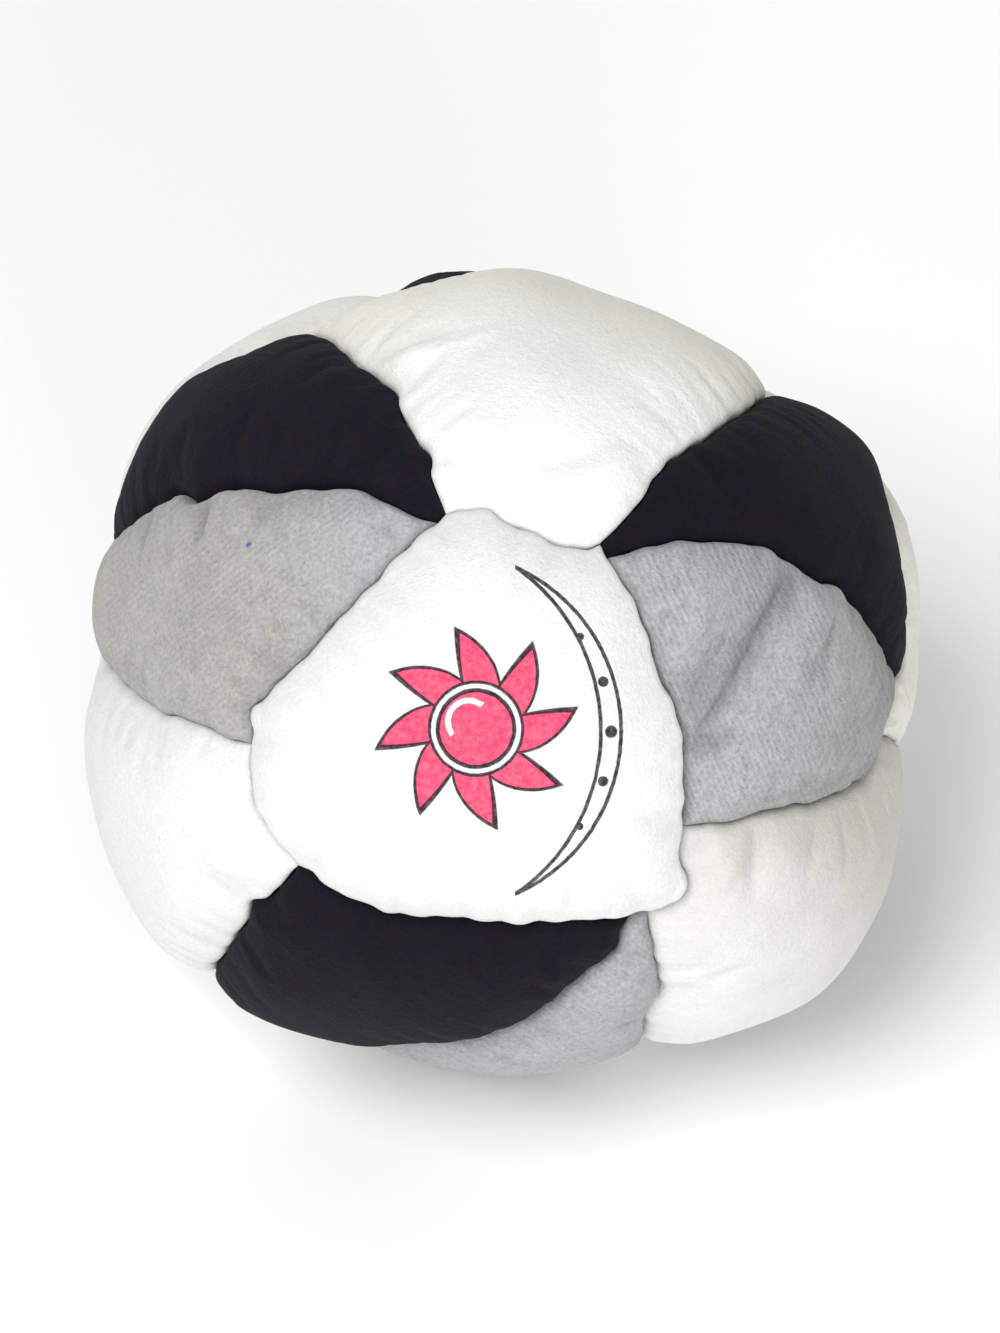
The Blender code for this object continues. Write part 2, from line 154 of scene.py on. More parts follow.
SEEN_ENDS = {
    "LR.L": seen(444, 510), "LR.R": seen(604, 539), "LB.L": seen(245, 746), "LB.B": seen(294, 870),
    "RB.R": seen(688, 831), "RB.B": seen(652, 917), "Lb.L": seen(306, 327), "Lb.b": turned(106, -0.16),
    "Lr.L": turned(163, 0.06), "Rb.R": turned(45.8, 0.03), "Rl.R": seen(888, 736),
    "Bl.B": turned(-69.3, 0.02),
    "Br.B": turned(226.5, 0.02),
    "Lr.r": turned(176, 0.38), "Rl.l": turned(-12, 0.36), "Br.r": turned(214, 0.33), "Rb.b": turned(60, 0.26),
}
ALONG = {
    "LR": [seen(461, 507), seen(487, 506), seen(504, 518), seen(533, 531), seen(552, 540), seen(585, 545)],
    "LB": [seen(247, 775), seen(251, 802), seen(258, 815), seen(271, 838), seen(282, 855)],
    "RB": [seen(684, 850), seen(685, 868), seen(689, 885), seen(683, 900), seen(668, 911)],
    "L/front": [seen(390, 562), seen(345, 610), seen(306, 654), seen(279, 677), seen(268, 694), seen(252, 706),
                seen(247, 722)],
    "L/left": [seen(216, 735), seen(189, 722), seen(153, 708), seen(116, 675), turned(176, 0.05)],
    "L/back_left": [seen(289, 335), seen(268, 345), seen(239, 357), seen(205, 373), seen(166, 406),
                    seen(124, 478), turned(158, 0.02)],
    "L/top": [seen(339, 345), seen(363, 365), seen(395, 390), seen(401, 408), seen(414, 434), seen(426, 449),
              seen(431, 473)],
    "L/": [seen(412, 512), seen(383, 497), seen(340, 485), seen(279, 490), seen(253, 486), seen(230, 487),
           seen(209, 495), seen(193, 500), seen(180, 493), seen(163, 499), seen(141, 515), seen(112, 544)],
    "R/front": [seen(640, 610), seen(652, 640), seen(664, 680), seen(678, 712), seen(686, 745), seen(686, 795)],
    "R/top": [seen(635, 510), seen(648, 488), seen(660, 470), seen(690, 446), seen(740, 413)],
    "R/back_right": [turned(39, 0.11), turned(32, 0.06), turned(26.5, -0.05), turned(21, -0.18), turned(15.7, -0.19),
                     turned(11, -0.16), turned(6, -0.13), turned(2.2, -0.12), seen(899, 682), seen(896, 706)],
    "R/right": [seen(735, 823), seen(790, 808), seen(830, 800), seen(864, 779)],
    "R/": [seen(650, 543), seen(700, 538), seen(760, 543), seen(791, 556), seen(820, 580), seen(836, 584),
           seen(852, 599), seen(871, 627), seen(888, 657)],
    "B/front": [seen(308, 876), seen(322, 887), seen(344, 898), seen(363, 906), seen(395, 916), seen(420, 918),
                seen(460, 921), seen(540, 926), seen(600, 922)],
    "B/left": [seen(276, 889), seen(266, 899), seen(249, 906), seen(242, 925)],
    "B/right": [seen(654, 934), seen(655, 951), seen(663, 982), seen(662, 995), seen(650, 1012)],
    "B/bottom": [turned(272, 0.34), turned(246, 0.28)],
    "B/": [seen(629, 928), seen(622, 940), seen(617, 953), seen(604, 964), seen(592, 971), seen(562, 996),
           seen(512, 1027), seen(441, 1040), seen(375, 1048), turned(243, 0.04), turned(234, 0.05)],
    "b/top": [turned(103, -0.17), turned(99.5, -0.165), turned(96.5, -0.11), turned(93, -0.02), turned(88, 0.05),
              turned(79, 0.14)],
}
# where a split seam runs out beside a corner, not into it: "square.neighbour"
BESIDE_CORNER = {"L.R": seen(436, 521), "R.L": seen(611, 551), "R.l": seen(900, 679), "B.R": seen(634, 917)}


def corner_of(a, b):
    return a + b if a + b in CORNERS else b + a


POINTS = {}
for ab in CORNERS:
    for end in ab:
        other = ab[1] if end == ab[0] else ab[0]
        along = unit(SQUARES[end] - SQUARES[other])
        mid = unit(SQUARES[ab[0]] + SQUARES[ab[1]])
        POINTS[ab + "." + end] = SEEN_ENDS.get(
            ab + "." + end, unit(mid * math.cos(SHORT_SEAM_HALF) + along * math.sin(SHORT_SEAM_HALF)))


def even_path(points, pitch):
    """Evenly spaced directions on a smooth curve through the points, and their run in mm."""
    p = [np.asarray(q, float) for q in points]
    if len(p) == 2:
        fine = [p[0] * (1 - t) + p[1] * t for t in np.linspace(0, 1, 80)]
    else:
        q = [2 * p[0] - p[1], *p, 2 * p[-1] - p[-2]]
        fine = []
        for i in range(1, len(q) - 2):
            a, b, c, d = q[i - 1:i + 3]
            # centripetal spacing keeps unevenly spaced points free of loops
            ta = 0.0
            tb = ta + max(np.linalg.norm(b - a), 1e-6) ** 0.5
            tc = tb + max(np.linalg.norm(c - b), 1e-6) ** 0.5
            td = tc + max(np.linalg.norm(d - c), 1e-6) ** 0.5
            for t in np.linspace(tb, tc, 24, endpoint=False):
                a1 = (tb - t) / (tb - ta) * a + (t - ta) / (tb - ta) * b
                a2 = (tc - t) / (tc - tb) * b + (t - tb) / (tc - tb) * c
                a3 = (td - t) / (td - tc) * c + (t - tc) / (td - tc) * d
                b1 = (tc - t) / (tc - ta) * a1 + (t - ta) / (tc - ta) * a2
                b2 = (td - t) / (td - tb) * a2 + (t - tb) / (td - tb) * a3
                fine.append((tc - t) / (tc - tb) * b1 + (t - tb) / (tc - tb) * b2)
        fine.append(p[-1])
    fine = unit(np.array(fine))
    run = np.r_[0, np.cumsum(np.linalg.norm(np.diff(fine, axis=0), axis=1))]
    n = max(6, round(run[-1] * FACING_RADIUS / pitch))
    at = np.linspace(0, run[-1], n + 1)
    return unit(np.stack([np.interp(at, run, fine[:, k]) for k in range(3)], 1)), at * FACING_RADIUS


class Seam:
    """A seam line: directions, run in mm, and how closely each point is drawn in by a stitch."""

    def __init__(self, points, wobble=1.0):
        v, s = even_path(points, PITCH)
        total = s[-1]
        # unevenly spaced stitches, none closer than a little to the ends
        n = max(2, round(total / STITCH))
        at = (np.arange(n) + 0.5) * total / n + rng.uniform(-0.28, 0.28, n)
        strength = rng.uniform(0.10, 1.15, n)
        self.stitches = at
        near = strength * np.exp(-((s[:, None] - at) / 0.52) ** 2)
        self.stitch = near.max(1)
        # small sideways drift of a hand-sewn line
        waves = sum(a * np.sin(math.tau * s / w + p) for a, w, p in
                    ((0.55, rng.uniform(5, 8), rng.uniform(0, 6.28)), (0.45, rng.uniform(2.6, 3.8), rng.uniform(0, 6.28)),
                     (0.20, STITCH, rng.uniform(0, 6.28))))
        ends = np.clip(np.minimum(s, total - s) / 1.6, 0, 1)
        aside = unit(np.cross(v, np.gradient(v, axis=0)))
        self.v = unit(v + aside * (waves * ends * SEAM_WOBBLE * wobble / FACING_RADIUS)[:, None])
        self.s = s

    def piece(self, start):
        """Directions and stitch values, led away from the direction start."""
        if np.linalg.norm(self.v[0] - start) > np.linalg.norm(self.v[-1] - start):
            return self.v[::-1], self.stitch[::-1]
        return self.v, self.stitch


def led_from(points, start):
    if np.linalg.norm(points[0] - start) > np.linalg.norm(points[-1] - start):
        return points[::-1]
    return points


def white_of(*three):
    return next(w for w, t in WHITES.items() if set(t) == set(three))


SHORTS = {ab: Seam([POINTS[ab + "." + ab[0]], *ALONG.get(ab, []), POINTS[ab + "." + ab[1]]]) for ab in CORNERS}
SIDES, RINGS, SPLITS = {}, {}, {}
for s, ring in NEIGHBOURS.items():
    parts, corner_at, count = [], {}, 0
    for i in range(4):
        n0, n1 = ring[i], ring[(i + 1) % 4]
        white = white_of(s, n0, n1)
        start, stop = POINTS[corner_of(s, n0) + "." + s], POINTS[corner_of(s, n1) + "." + s]
        between = ALONG.get(s + "/" + white)
        if between is None:
            mid = unit(start + stop)
            between = [unit(mid + SIDE_BOW * (SQUARES[s] - mid * (SQUARES[s] @ mid)))]
        SIDES[s, white] = Seam([start, *led_from(between, start), stop])
        v, c = SIDES[s, white].piece(start)
        corner_at[n0] = count
        parts.append((v[:-1], c[:-1]))
        count += len(v) - 1
    ring_v, ring_c = np.vstack([p[0] for p in parts]), np.concatenate([p[1] for p in parts])
    at = []
    for n in SPLIT_ENDS[s]:
        beside = BESIDE_CORNER.get(s + "." + n)
        at.append(corner_at[n] if beside is None else int(np.argmin(np.linalg.norm(ring_v - beside, axis=1))))
    first, last = ring_v[at[0]], ring_v[at[1]]
    SPLITS[s] = Seam([first, *led_from(ALONG.get(s + "/") or [unit(first + last)], first), last])
    RINGS[s] = (ring_v, ring_c, corner_at, at)


def half_loop(s, corner):
    ring_v, ring_c, corner_at, (a, b) = RINGS[s]
    n = len(ring_v)
    run = (b - a) % n
    if (corner_at[corner] - a) % n < run:
        arc = np.arange(a, a + run + 1) % n
    else:
        arc = np.arange(b, b + n - run + 1) % n
    split_v, split_c = SPLITS[s].piece(ring_v[arc[-1]])
    return np.vstack([ring_v[arc][:-1], split_v[:-1]]), np.concatenate([ring_c[arc][:-1], split_c[:-1]])


def white_loop(white):
    a, b, c = WHITES[white]
    vs, cs = [], []
    for s, n_in, n_out in ((a, c, b), (b, a, c), (c, b, a)):
        start = POINTS[corner_of(s, n_in) + "." + s]
        for seam in (SIDES[s, white], SHORTS[corner_of(s, n_out)]):
            v, k = seam.piece(start)
            vs.append(v[:-1])
            cs.append(k[:-1])
            start = v[-1]
    return np.vstack(vs), np.concatenate(cs)


# ---- smooth random waves, for unevenness that has no pattern ----
def waves(seed, wavelength, count=14):
    r = np.random.default_rng(seed)
    k = unit(r.normal(size=(count, 3))) * (math.tau / (wavelength * r.uniform(0.75, 1.35, (count, 1))))
    phase = r.uniform(0, math.tau, count)

    def value(p):
        return np.sin(p @ k.T + phase).sum(1) / math.sqrt(count / 2)
    return value


LUMPS, RIPPLES = waves(3, 7.5), waves(4, 3.2)


def to_world(p, depth):
    """Places in the object's frame (mm), flattened where the bag rests."""
    w = p @ VIEW
    z = w[:, 2] + MIDDLE[2]
    x = z - depth
    soft = depth + (x + REST_BLEND) ** 2 / (4 * REST_BLEND)
    z = np.where(x > REST_BLEND, z, np.where(x < -REST_BLEND, depth, soft))
    return np.stack([w[:, 0] + MIDDLE[0], w[:, 1] + MIDDLE[1], z], 1)


def in_photo(p):
    """Pixels of places given in the view's own axes (mm, from the bag's middle)."""
    k = PX / (DISTANCE - p[:, 2])
    return np.stack([CENTRE_PX[0] + p[:, 0] * k, CENTRE_PX[1] - p[:, 1] * k], 1)


# ---- folds and dents that the photograph shows: (path in pixels, half width in px, height in mm) ----
FOLDS = {
    "grey_panel_upper_right": [
        ([(804, 545), (784, 603), (760, 652), (736, 697), (706, 740), (676, 778)], 12, -1.05),
        ([(784, 535), (764, 598), (738, 647), (710, 690), (684, 728)], 30, -0.85),
        ([(830, 588), (808, 645), (782, 690), (748, 748)], 22, 0.80),
        ([(712, 560), (700, 600), (690, 640)], 18, 0.45),
        ([(845, 600), (826, 650), (800, 700)], 11, -0.75), ([(868, 640), (848, 685), (822, 735)], 15, 0.42),
        ([(880, 690), (856, 738), (826, 778)], 13, -0.45),
        ([(770, 730), (748, 765), (722, 800)], 14, -0.30)],
    "grey_panel_upper_left": [
        ([(179, 497), (184, 520), (192, 546)], 12, 0.42), ([(239, 489), (243, 510), (248, 530)], 11, 0.36),
        ([(208, 498), (214, 530)], 10, -0.40), ([(268, 494), (270, 520)], 10, -0.32),
        ([(300, 640), (270, 670), (262, 700)], 14, -0.34), ([(150, 516), (162, 545)], 10, -0.28),
        ([(345, 492), (352, 520), (350, 545)], 14, 0.22), ([(400, 512), (385, 530), (366, 545)], 13, -0.26),
        ([(130, 620), (170, 640), (215, 650)], 20, -0.20)],
    "black_panel_upper_left": [
        ([(240, 355), (262, 400), (300, 440)], 18, -0.40), ([(325, 355), (342, 420), (365, 465)], 18, 0.34),
        ([(398, 400), (386, 430), (380, 465)], 14, -0.32), ([(160, 425), (190, 450), (230, 470)], 16, 0.26)],
    "black_panel_upper_right": [
        ([(690, 450), (722, 480), (750, 515)], 17, -0.40), ([(800, 405), (838, 470), (852, 540)], 20, -0.40),
        ([(745, 420), (772, 460), (790, 520)], 20, 0.30), ([(868, 600), (882, 560), (884, 520)], 12, 0.26)],
    "white_panel_top": [
        ([(366, 366), (380, 350), (408, 338), (446, 328)], 9, -0.75), ([(388, 374), (410, 354), (448, 344)], 14, 0.40),
        ([(505, 478), (562, 456), (612, 430)], 19, -0.62), ([(448, 380), (470, 345), (508, 322)], 16, -0.50),
        ([(450, 436), (485, 468), (528, 500)], 16, -0.60), ([(545, 492), (588, 474), (635, 446)], 18, 0.40),
        ([(640, 470), (620, 500), (600, 520)], 14, 0.28), ([(690, 420), (655, 400), (612, 390)], 20, -0.34),
        ([(435, 425), (475, 428), (510, 442)], 17, 0.34), ([(560, 300), (590, 340), (640, 370)], 26, -0.30)],
    "white_panel_right": [
        ([(750, 818), (760, 850), (752, 900)], 13, -0.62), ([(778, 812), (788, 850), (788, 884)], 15, 0.26),
        ([(812, 806), (815, 830), (806, 855)], 13, -0.14), ([(722, 824), (728, 860), (712, 905)], 17, 0.34),
        ([(752, 900), (757, 940), (750, 985)], 20, -0.28),
        ([(770, 905), (785, 940), (776, 985)], 20, -0.28), ([(733, 895), (744, 935), (738, 980)], 18, 0.26),
        ([(842, 796), (852, 830), (846, 866)], 15, -0.26), ([(686, 925), (720, 935), (752, 962)], 17, -0.34),
        ([(690, 880), (698, 850), (700, 830)], 11, -0.36)],
    "white_panel_left": [
        ([(214, 738), (210, 775), (222, 812)], 13, -0.48), ([(180, 728), (174, 760), (182, 796)], 13, 0.30),
        ([(258, 902), (228, 888), (195, 880)], 14, -0.44), ([(238, 812), (225, 840), (222, 875)], 14, 0.30),
        ([(288, 866), (250, 850), (205, 812)], 12, -0.40), ([(284, 872), (240, 868), (196, 850)], 13, 0.28),
        ([(140, 705), (142, 740), (150, 775)], 14, -0.34), ([(244, 930), (220, 945), (190, 948)], 13, -0.34)],
    "white_panel_front": [
        ([(296, 868), (330, 850), (360, 836)], 15, -0.36), ([(642, 908), (628, 880), (610, 856)], 14, -0.34),
        ([(258, 735), (290, 730), (322, 735)], 14, -0.30), ([(602, 552), (590, 585), (585, 618)], 14, -0.30),
        ([(472, 514), (462, 545), (446, 570)], 14, -0.30), ([(682, 825), (655, 812), (634, 796)], 14, -0.34)],
    "black_panel_front_low": [
        ([(330, 900), (322, 940), (306, 980)], 16, -0.38), ([(450, 926), (448, 960), (436, 996)], 18, 0.32),
        ([(565, 936), (545, 962), (518, 990)], 14, -0.34), ([(390, 1040), (400, 1000), (395, 965)], 18, -0.24)],
    "grey_panel_front_low": [
        ([(645, 945), (618, 990), (590, 1026)], 14, -0.42), ([(604, 968), (575, 1005), (545, 1036)], 15, 0.32),
        ([(520, 1025), (540, 1050), (545, 1075)], 16, -0.30)],
}


def edge_rise(name, pixels, facing):
    """How much further a panel's edge stands up where the photograph shows it above its neighbour."""
    x, y = pixels.T
    if name == "white_panel_front":
        h = 0.50 * np.clip((x - 560) / 110, 0, 1)
    elif name == "grey_panel_upper_left":
        h = 0.20 * np.clip((520 - y) / 40, 0, 1)
    elif name == "grey_panel_upper_right":
        h = -0.22 * np.clip((720 - x) / 60, 0, 1)
    elif name == "white_panel_right":
        h = -0.25 * np.clip((720 - x) / 40, 0, 1)
    else:
        return np.zeros(len(x))
    return h * np.clip(facing * 3, 0, 1)


def edge_drop(name, pixels, facing):
    """Share of the groove's full depth: where the photograph shows panels flush, less."""
    x, y = pixels.T
    if name == "white_panel_front":
        flush = np.clip((600 - x) / 120, 0, 1)
    elif name == "grey_panel_upper_left":
        flush = np.maximum(np.clip((x - 215) / 40, 0, 1) * np.clip((y - 515) / 30, 0, 1), np.clip((y - 625) / 30, 0, 1))
    elif name in ("white_panel_left", "white_panel_top"):
        flush = np.clip((x - 110) / 60, 0, 1)
    else:
        return np.ones(len(x))
    return 1 - 0.62 * flush * np.clip(facing * 3, 0, 1)


def fold_height(name, pixels, facing):
    """Heights in mm of the panel's own folds at places given by their pixels."""
    h = np.zeros(len(pixels))
    for path, half, height in FOLDS.get(name, ()):
        q = np.array(path, float)
        fine = np.stack([np.interp(np.linspace(0, len(q) - 1, 40), np.arange(len(q)), q[:, k]) for k in (0, 1)], 1)
        gap = np.linalg.norm(pixels[:, None] - fine, axis=2)
        near = gap.argmin(1)
        t = near / 39
        taper = np.sin(np.clip(t * 0.9 + 0.05, 0, 1) * math.pi) ** 0.7
        h += height * taper * np.exp(-(gap.min(1) / half) ** 2)
    return h * np.clip(facing * 3, 0, 1)


# ---- a panel's skin ----
def nearest_on(loop2, q, chunk=1500):
    """Distance from points to a closed line in the plane, and where on it the nearest place is."""
    a, ab = loop2, np.roll(loop2, -1, axis=0) - loop2
    length2 = (ab * ab).sum(1)
    far, at = np.empty(len(q)), np.empty(len(q))
    for i in range(0, len(q), chunk):
        r = q[i:i + chunk, None] - a
        t = np.clip((r * ab).sum(2) / length2, 0, 1)
        gap = np.linalg.norm(r - t[..., None] * ab, axis=2)
        k = gap.argmin(1)
        far[i:i + chunk] = gap[np.arange(len(k)), k]
        at[i:i + chunk] = k + t[np.arange(len(k)), k]
    return far, at


def within(loop2, q, chunk=3000):
    a, b = loop2, np.roll(loop2, -1, axis=0)
    inside = np.zeros(len(q), bool)
    for i in range(0, len(q), chunk):
        x, y = q[i:i + chunk, 0, None], q[i:i + chunk, 1, None]
        cross = (a[:, 1] > y) != (b[:, 1] > y)
        with np.errstate(divide="ignore", invalid="ignore"):
            edge = (b[:, 0] - a[:, 0]) * (y - a[:, 1]) / (b[:, 1] - a[:, 1]) + a[:, 0]
        inside[i:i + chunk] = (cross & (x < edge)).sum(1) % 2 == 1
    return inside


def membrane(q, tris, fixed):
    """Height of an evenly blown soap film over the plane mesh, zero at its edge."""
    i, j, k = tris.T
    rows, cols, ws = [], [], []
    for a, b, c in ((i, j, k), (j, k, i), (k, i, j)):
        u, v = q[a] - q[c], q[b] - q[c]
        cot = (u * v).sum(1) / np.maximum(np.abs(u[:, 0] * v[:, 1] - u[:, 1] * v[:, 0]), 1e-9)
        rows += [a, b]
        cols += [b, a]
        ws += [cot / 2, cot / 2]
    rows, cols, ws = np.concatenate(rows), np.concatenate(cols), np.concatenate(ws)
    n = len(q)
    diagonal = np.bincount(rows, ws, n)
    u, v = q[j] - q[i], q[k] - q[i]
    area = np.abs(u[:, 0] * v[:, 1] - u[:, 1] * v[:, 0]) / 2
    load = np.bincount(tris.ravel(), np.repeat(area / 3, 3), n)
    free = ~fixed
    load = np.where(free, load, 0.0)

    def apply(x):
        y = diagonal * x - np.bincount(rows, ws * x[cols], n)
        return np.where(free, y, 0.0)

    x = np.zeros(n)
    r = load.copy()
    z = np.where(free, r / np.maximum(diagonal, 1e-9), 0)
    p, rz = z.copy(), r @ z
    for _ in range(600):
        ap = apply(p)
        step = rz / (p @ ap)
        x += step * p
        r -= step * ap
        if np.abs(r).max() < 1e-7:
            break
        z = np.where(free, r / np.maximum(diagonal, 1e-9), 0)
        new = r @ z
        p = z + new / rz * p
        rz = new
    return x


CORNER_DIRECTIONS = np.array([p for p in POINTS.values()])


def corner_dent(v):
    """How far the cloth is drawn in round the places where three panels meet."""
    near = (np.linalg.norm(v[:, None] - CORNER_DIRECTIONS, axis=2) * FACING_RADIUS / 1.9) ** 2
    return CORNER_DENT * np.exp(-near).max(1)


class Skin:
    """The outer face of a panel as a mesh in the plane, with each point's direction and height."""

    def __init__(self, name, loop, stitch, puff):
        self.name, n = name, len(loop)
        middle = unit(loop.mean(0))
        side = unit(np.cross(middle, loop[0]))
        front = np.cross(side, middle)
        self.axes = middle, front, side
        angle = np.arccos(np.clip(loop @ middle, -1, 1))
        line = np.stack([loop @ front, loop @ side], 1) / np.sin(angle)[:, None] * (angle * FACING_RADIUS)[:, None]
        after, before = np.roll(line, -1, axis=0), np.roll(line, 1, axis=0)
        turn = np.sign((line[:, 0] * after[:, 1] - line[:, 1] * after[:, 0]).sum())
        tangent = unit(unit(after - line) + unit(line - before))
        inward = turn * np.stack([-tangent[:, 1], tangent[:, 0]], 1)
        edge = line + inward * (EDGE_GAP + STITCH_PULL * stitch)[:, None]
        points = [edge]
        for inset, every in ((0.24, 1), (0.40, 1), (0.60, 1), (0.86, 1), (1.22, 1)):
            row = (line + inward * inset)[::every]
            far, _ = nearest_on(line, row)
            points.append(row[(far > inset * 0.94) & within(line, row)])
        lo, hi = line.min(0), line.max(0)
        nx, ny = int((hi[0] - lo[0]) / GRID) + 2, int((hi[1] - lo[1]) / (GRID * 0.866)) + 2
        gx, gy = np.meshgrid(np.arange(nx), np.arange(ny))
        grid = np.stack([lo[0] + (gx + 0.5 * (gy % 2)) * GRID, lo[1] + gy * GRID * 0.866], -1).reshape(-1, 2)
        far, _ = nearest_on(line, grid)
        points.append(grid[(far > 1.6) & within(line, grid)])
        q = np.vstack(points)
        edges = [(i, (i + 1) % n) for i in range(n)]
        _, _, faces, ids, _, _ = delaunay_2d_cdt([Vector(p) for p in q], edges, [], 0, 1e-5, True)
        assert all(ids), name + ": its edge crosses itself"
        order = [i[0] for i in ids]
        assert len(order) == len(q) and sorted(order) == list(range(len(q))), name + ": mesh points merged"
        tris = np.array([[order[k] for k in f] for f in faces])
        tris = tris[within(edge, q[tris].mean(1))]
        a, b, c = (q[tris[:, k]] for k in range(3))
        flip = ((b - a)[:, 0] * (c - a)[:, 1] - (b - a)[:, 1] * (c - a)[:, 0]) < 0
        tris[flip] = tris[flip][:, ::-1]
        self.q, self.tris, self.n = q, tris, n
        self.line = line
        fixed = np.zeros(len(q), bool)
        fixed[:n] = True
        self.far, where = nearest_on(line, q)
        k = np.floor(where).astype(int) % n
        f = where - np.floor(where)
        self.stitch = stitch[k] * (1 - f) + stitch[(k + 1) % n] * f
        self.film = membrane(q, tris, fixed)
        # the panel's centre is where the film stands highest
        self.centre = q[self.film.argmax()]
        ab = after - line
        reach = turn * (ab[:, 0] * (self.centre[1] - line[:, 1]) - ab[:, 1] * (self.centre[0] - line[:, 0])) \
            / np.linalg.norm(ab, axis=1)
        self.reach = np.clip(reach, 2.5, 12.0)[k]
        self.direction = self.lift(q)
        self.puff = puff
        self.relief = np.zeros(len(q))

    def lift(self, q):
        middle, front, side = self.axes
        r = np.maximum(np.linalg.norm(q, axis=1), 1e-9)
        a = r / FACING_RADIUS
        return unit(np.cos(a)[:, None] * middle + (np.sin(a) / r)[:, None] * (q[:, :1] * front + q[:, 1:] * side))

    def crown(self):
        """Radius of the bag's face without the rounding of the folded edge."""
        u = self.film / self.film.max()
        v = self.direction
        top = seam_radius(v) + (self.puff - local(FLUSH, v) - local(LOW, v)) * (1 - np.exp(-2.3 * u)) / 0.9
        sink = np.exp(-(self.far / 3.0))
        top -= corner_dent(v)
        inside = 1 - sink
        top += 0.10 * LUMPS(v * 27) * inside + 0.035 * RIPPLES(v * 27) * inside + self.relief
        place = v * top[:, None]
        pixels = in_photo(place)
        folds = fold_height(self.name, pixels, v[:, 2]) * (1 - np.exp(-self.far / 0.8))
        # painted shade in the valleys of folds, from the fold heights and the cloth's relief
        self.painted_fold_shade = np.clip(-(folds * 0.8 + self.relief * 1.6) / 0.9, 0, 1)
        top += folds
        top += edge_rise(self.name, pixels, v[:, 2]) * np.exp(-self.far / 2.2) * (1 - np.exp(-self.far / 0.35))
        return top

    def face(self):
        """Outer face about the bag's middle, in the view's own axes and before it rests on anything."""
        c, d = self.stitch, self.far
        r = FOLD_RADIUS * (1 + 0.22 * c)
        x = np.clip(1 - d / r, 0, 1)
        v = self.direction
        drop = FOLD_DROP * edge_drop(self.name, in_photo(v * seam_radius(v)[:, None]), v[:, 2])
        top = self.crown() - drop * (1 + 0.15 * c) * (1 - np.sqrt(1 - x * x))
        top -= STITCH_DENT * c * np.exp(-d / 1.5)
        return self.direction * top[:, None]

    def outer(self):
        """Outer face in the object's frame."""
        return to_world(self.face(), 0.0)

    def inner(self):
        """Inner face: the cloth's thickness below, and down along the turned-in edge."""
        m = 0.85 * np.exp(-self.far / 0.7)
        share = 1 - m / self.reach
        v = self.lift(self.centre + (self.q - self.centre) * share[:, None])
        t = np.clip(1 - self.far / 1.7, 0, 1)
        depth = CLOTH + (HEM_DEPTH - CLOTH) * t * t * (3 - 2 * t)
        p = v * (self.crown() - depth)[:, None]
        w = p @ VIEW
        z = w[:, 2] + MIDDLE[2]
        x = z - depth
        soft = depth + (x + REST_BLEND) ** 2 / (4 * REST_BLEND)
        z = np.where(x > REST_BLEND, z, np.where(x < -REST_BLEND, depth, soft))
        return np.stack([w[:, 0] + MIDDLE[0], w[:, 1] + MIDDLE[1], z], 1)

    def wall(self, depth):
        v = self.direction[:self.n]
        return to_world(v * (seam_radius(v) - depth)[:, None], depth)


# ---- puckers: the panels as cloth, held at their seams and pressed outward by the fill ----
CLOTH_SCALE = 0.1          # the simulated bag is a hundred times full size
CLOTH_FRAMES = 24
CLOTH_SLACK = 0.035        # how much longer the cloth is than its place between the seams
RELIEF_GAIN, RELIEF_GAIN_BEHIND, RELIEF_LIMIT = 1.0, 1.6, 0.50


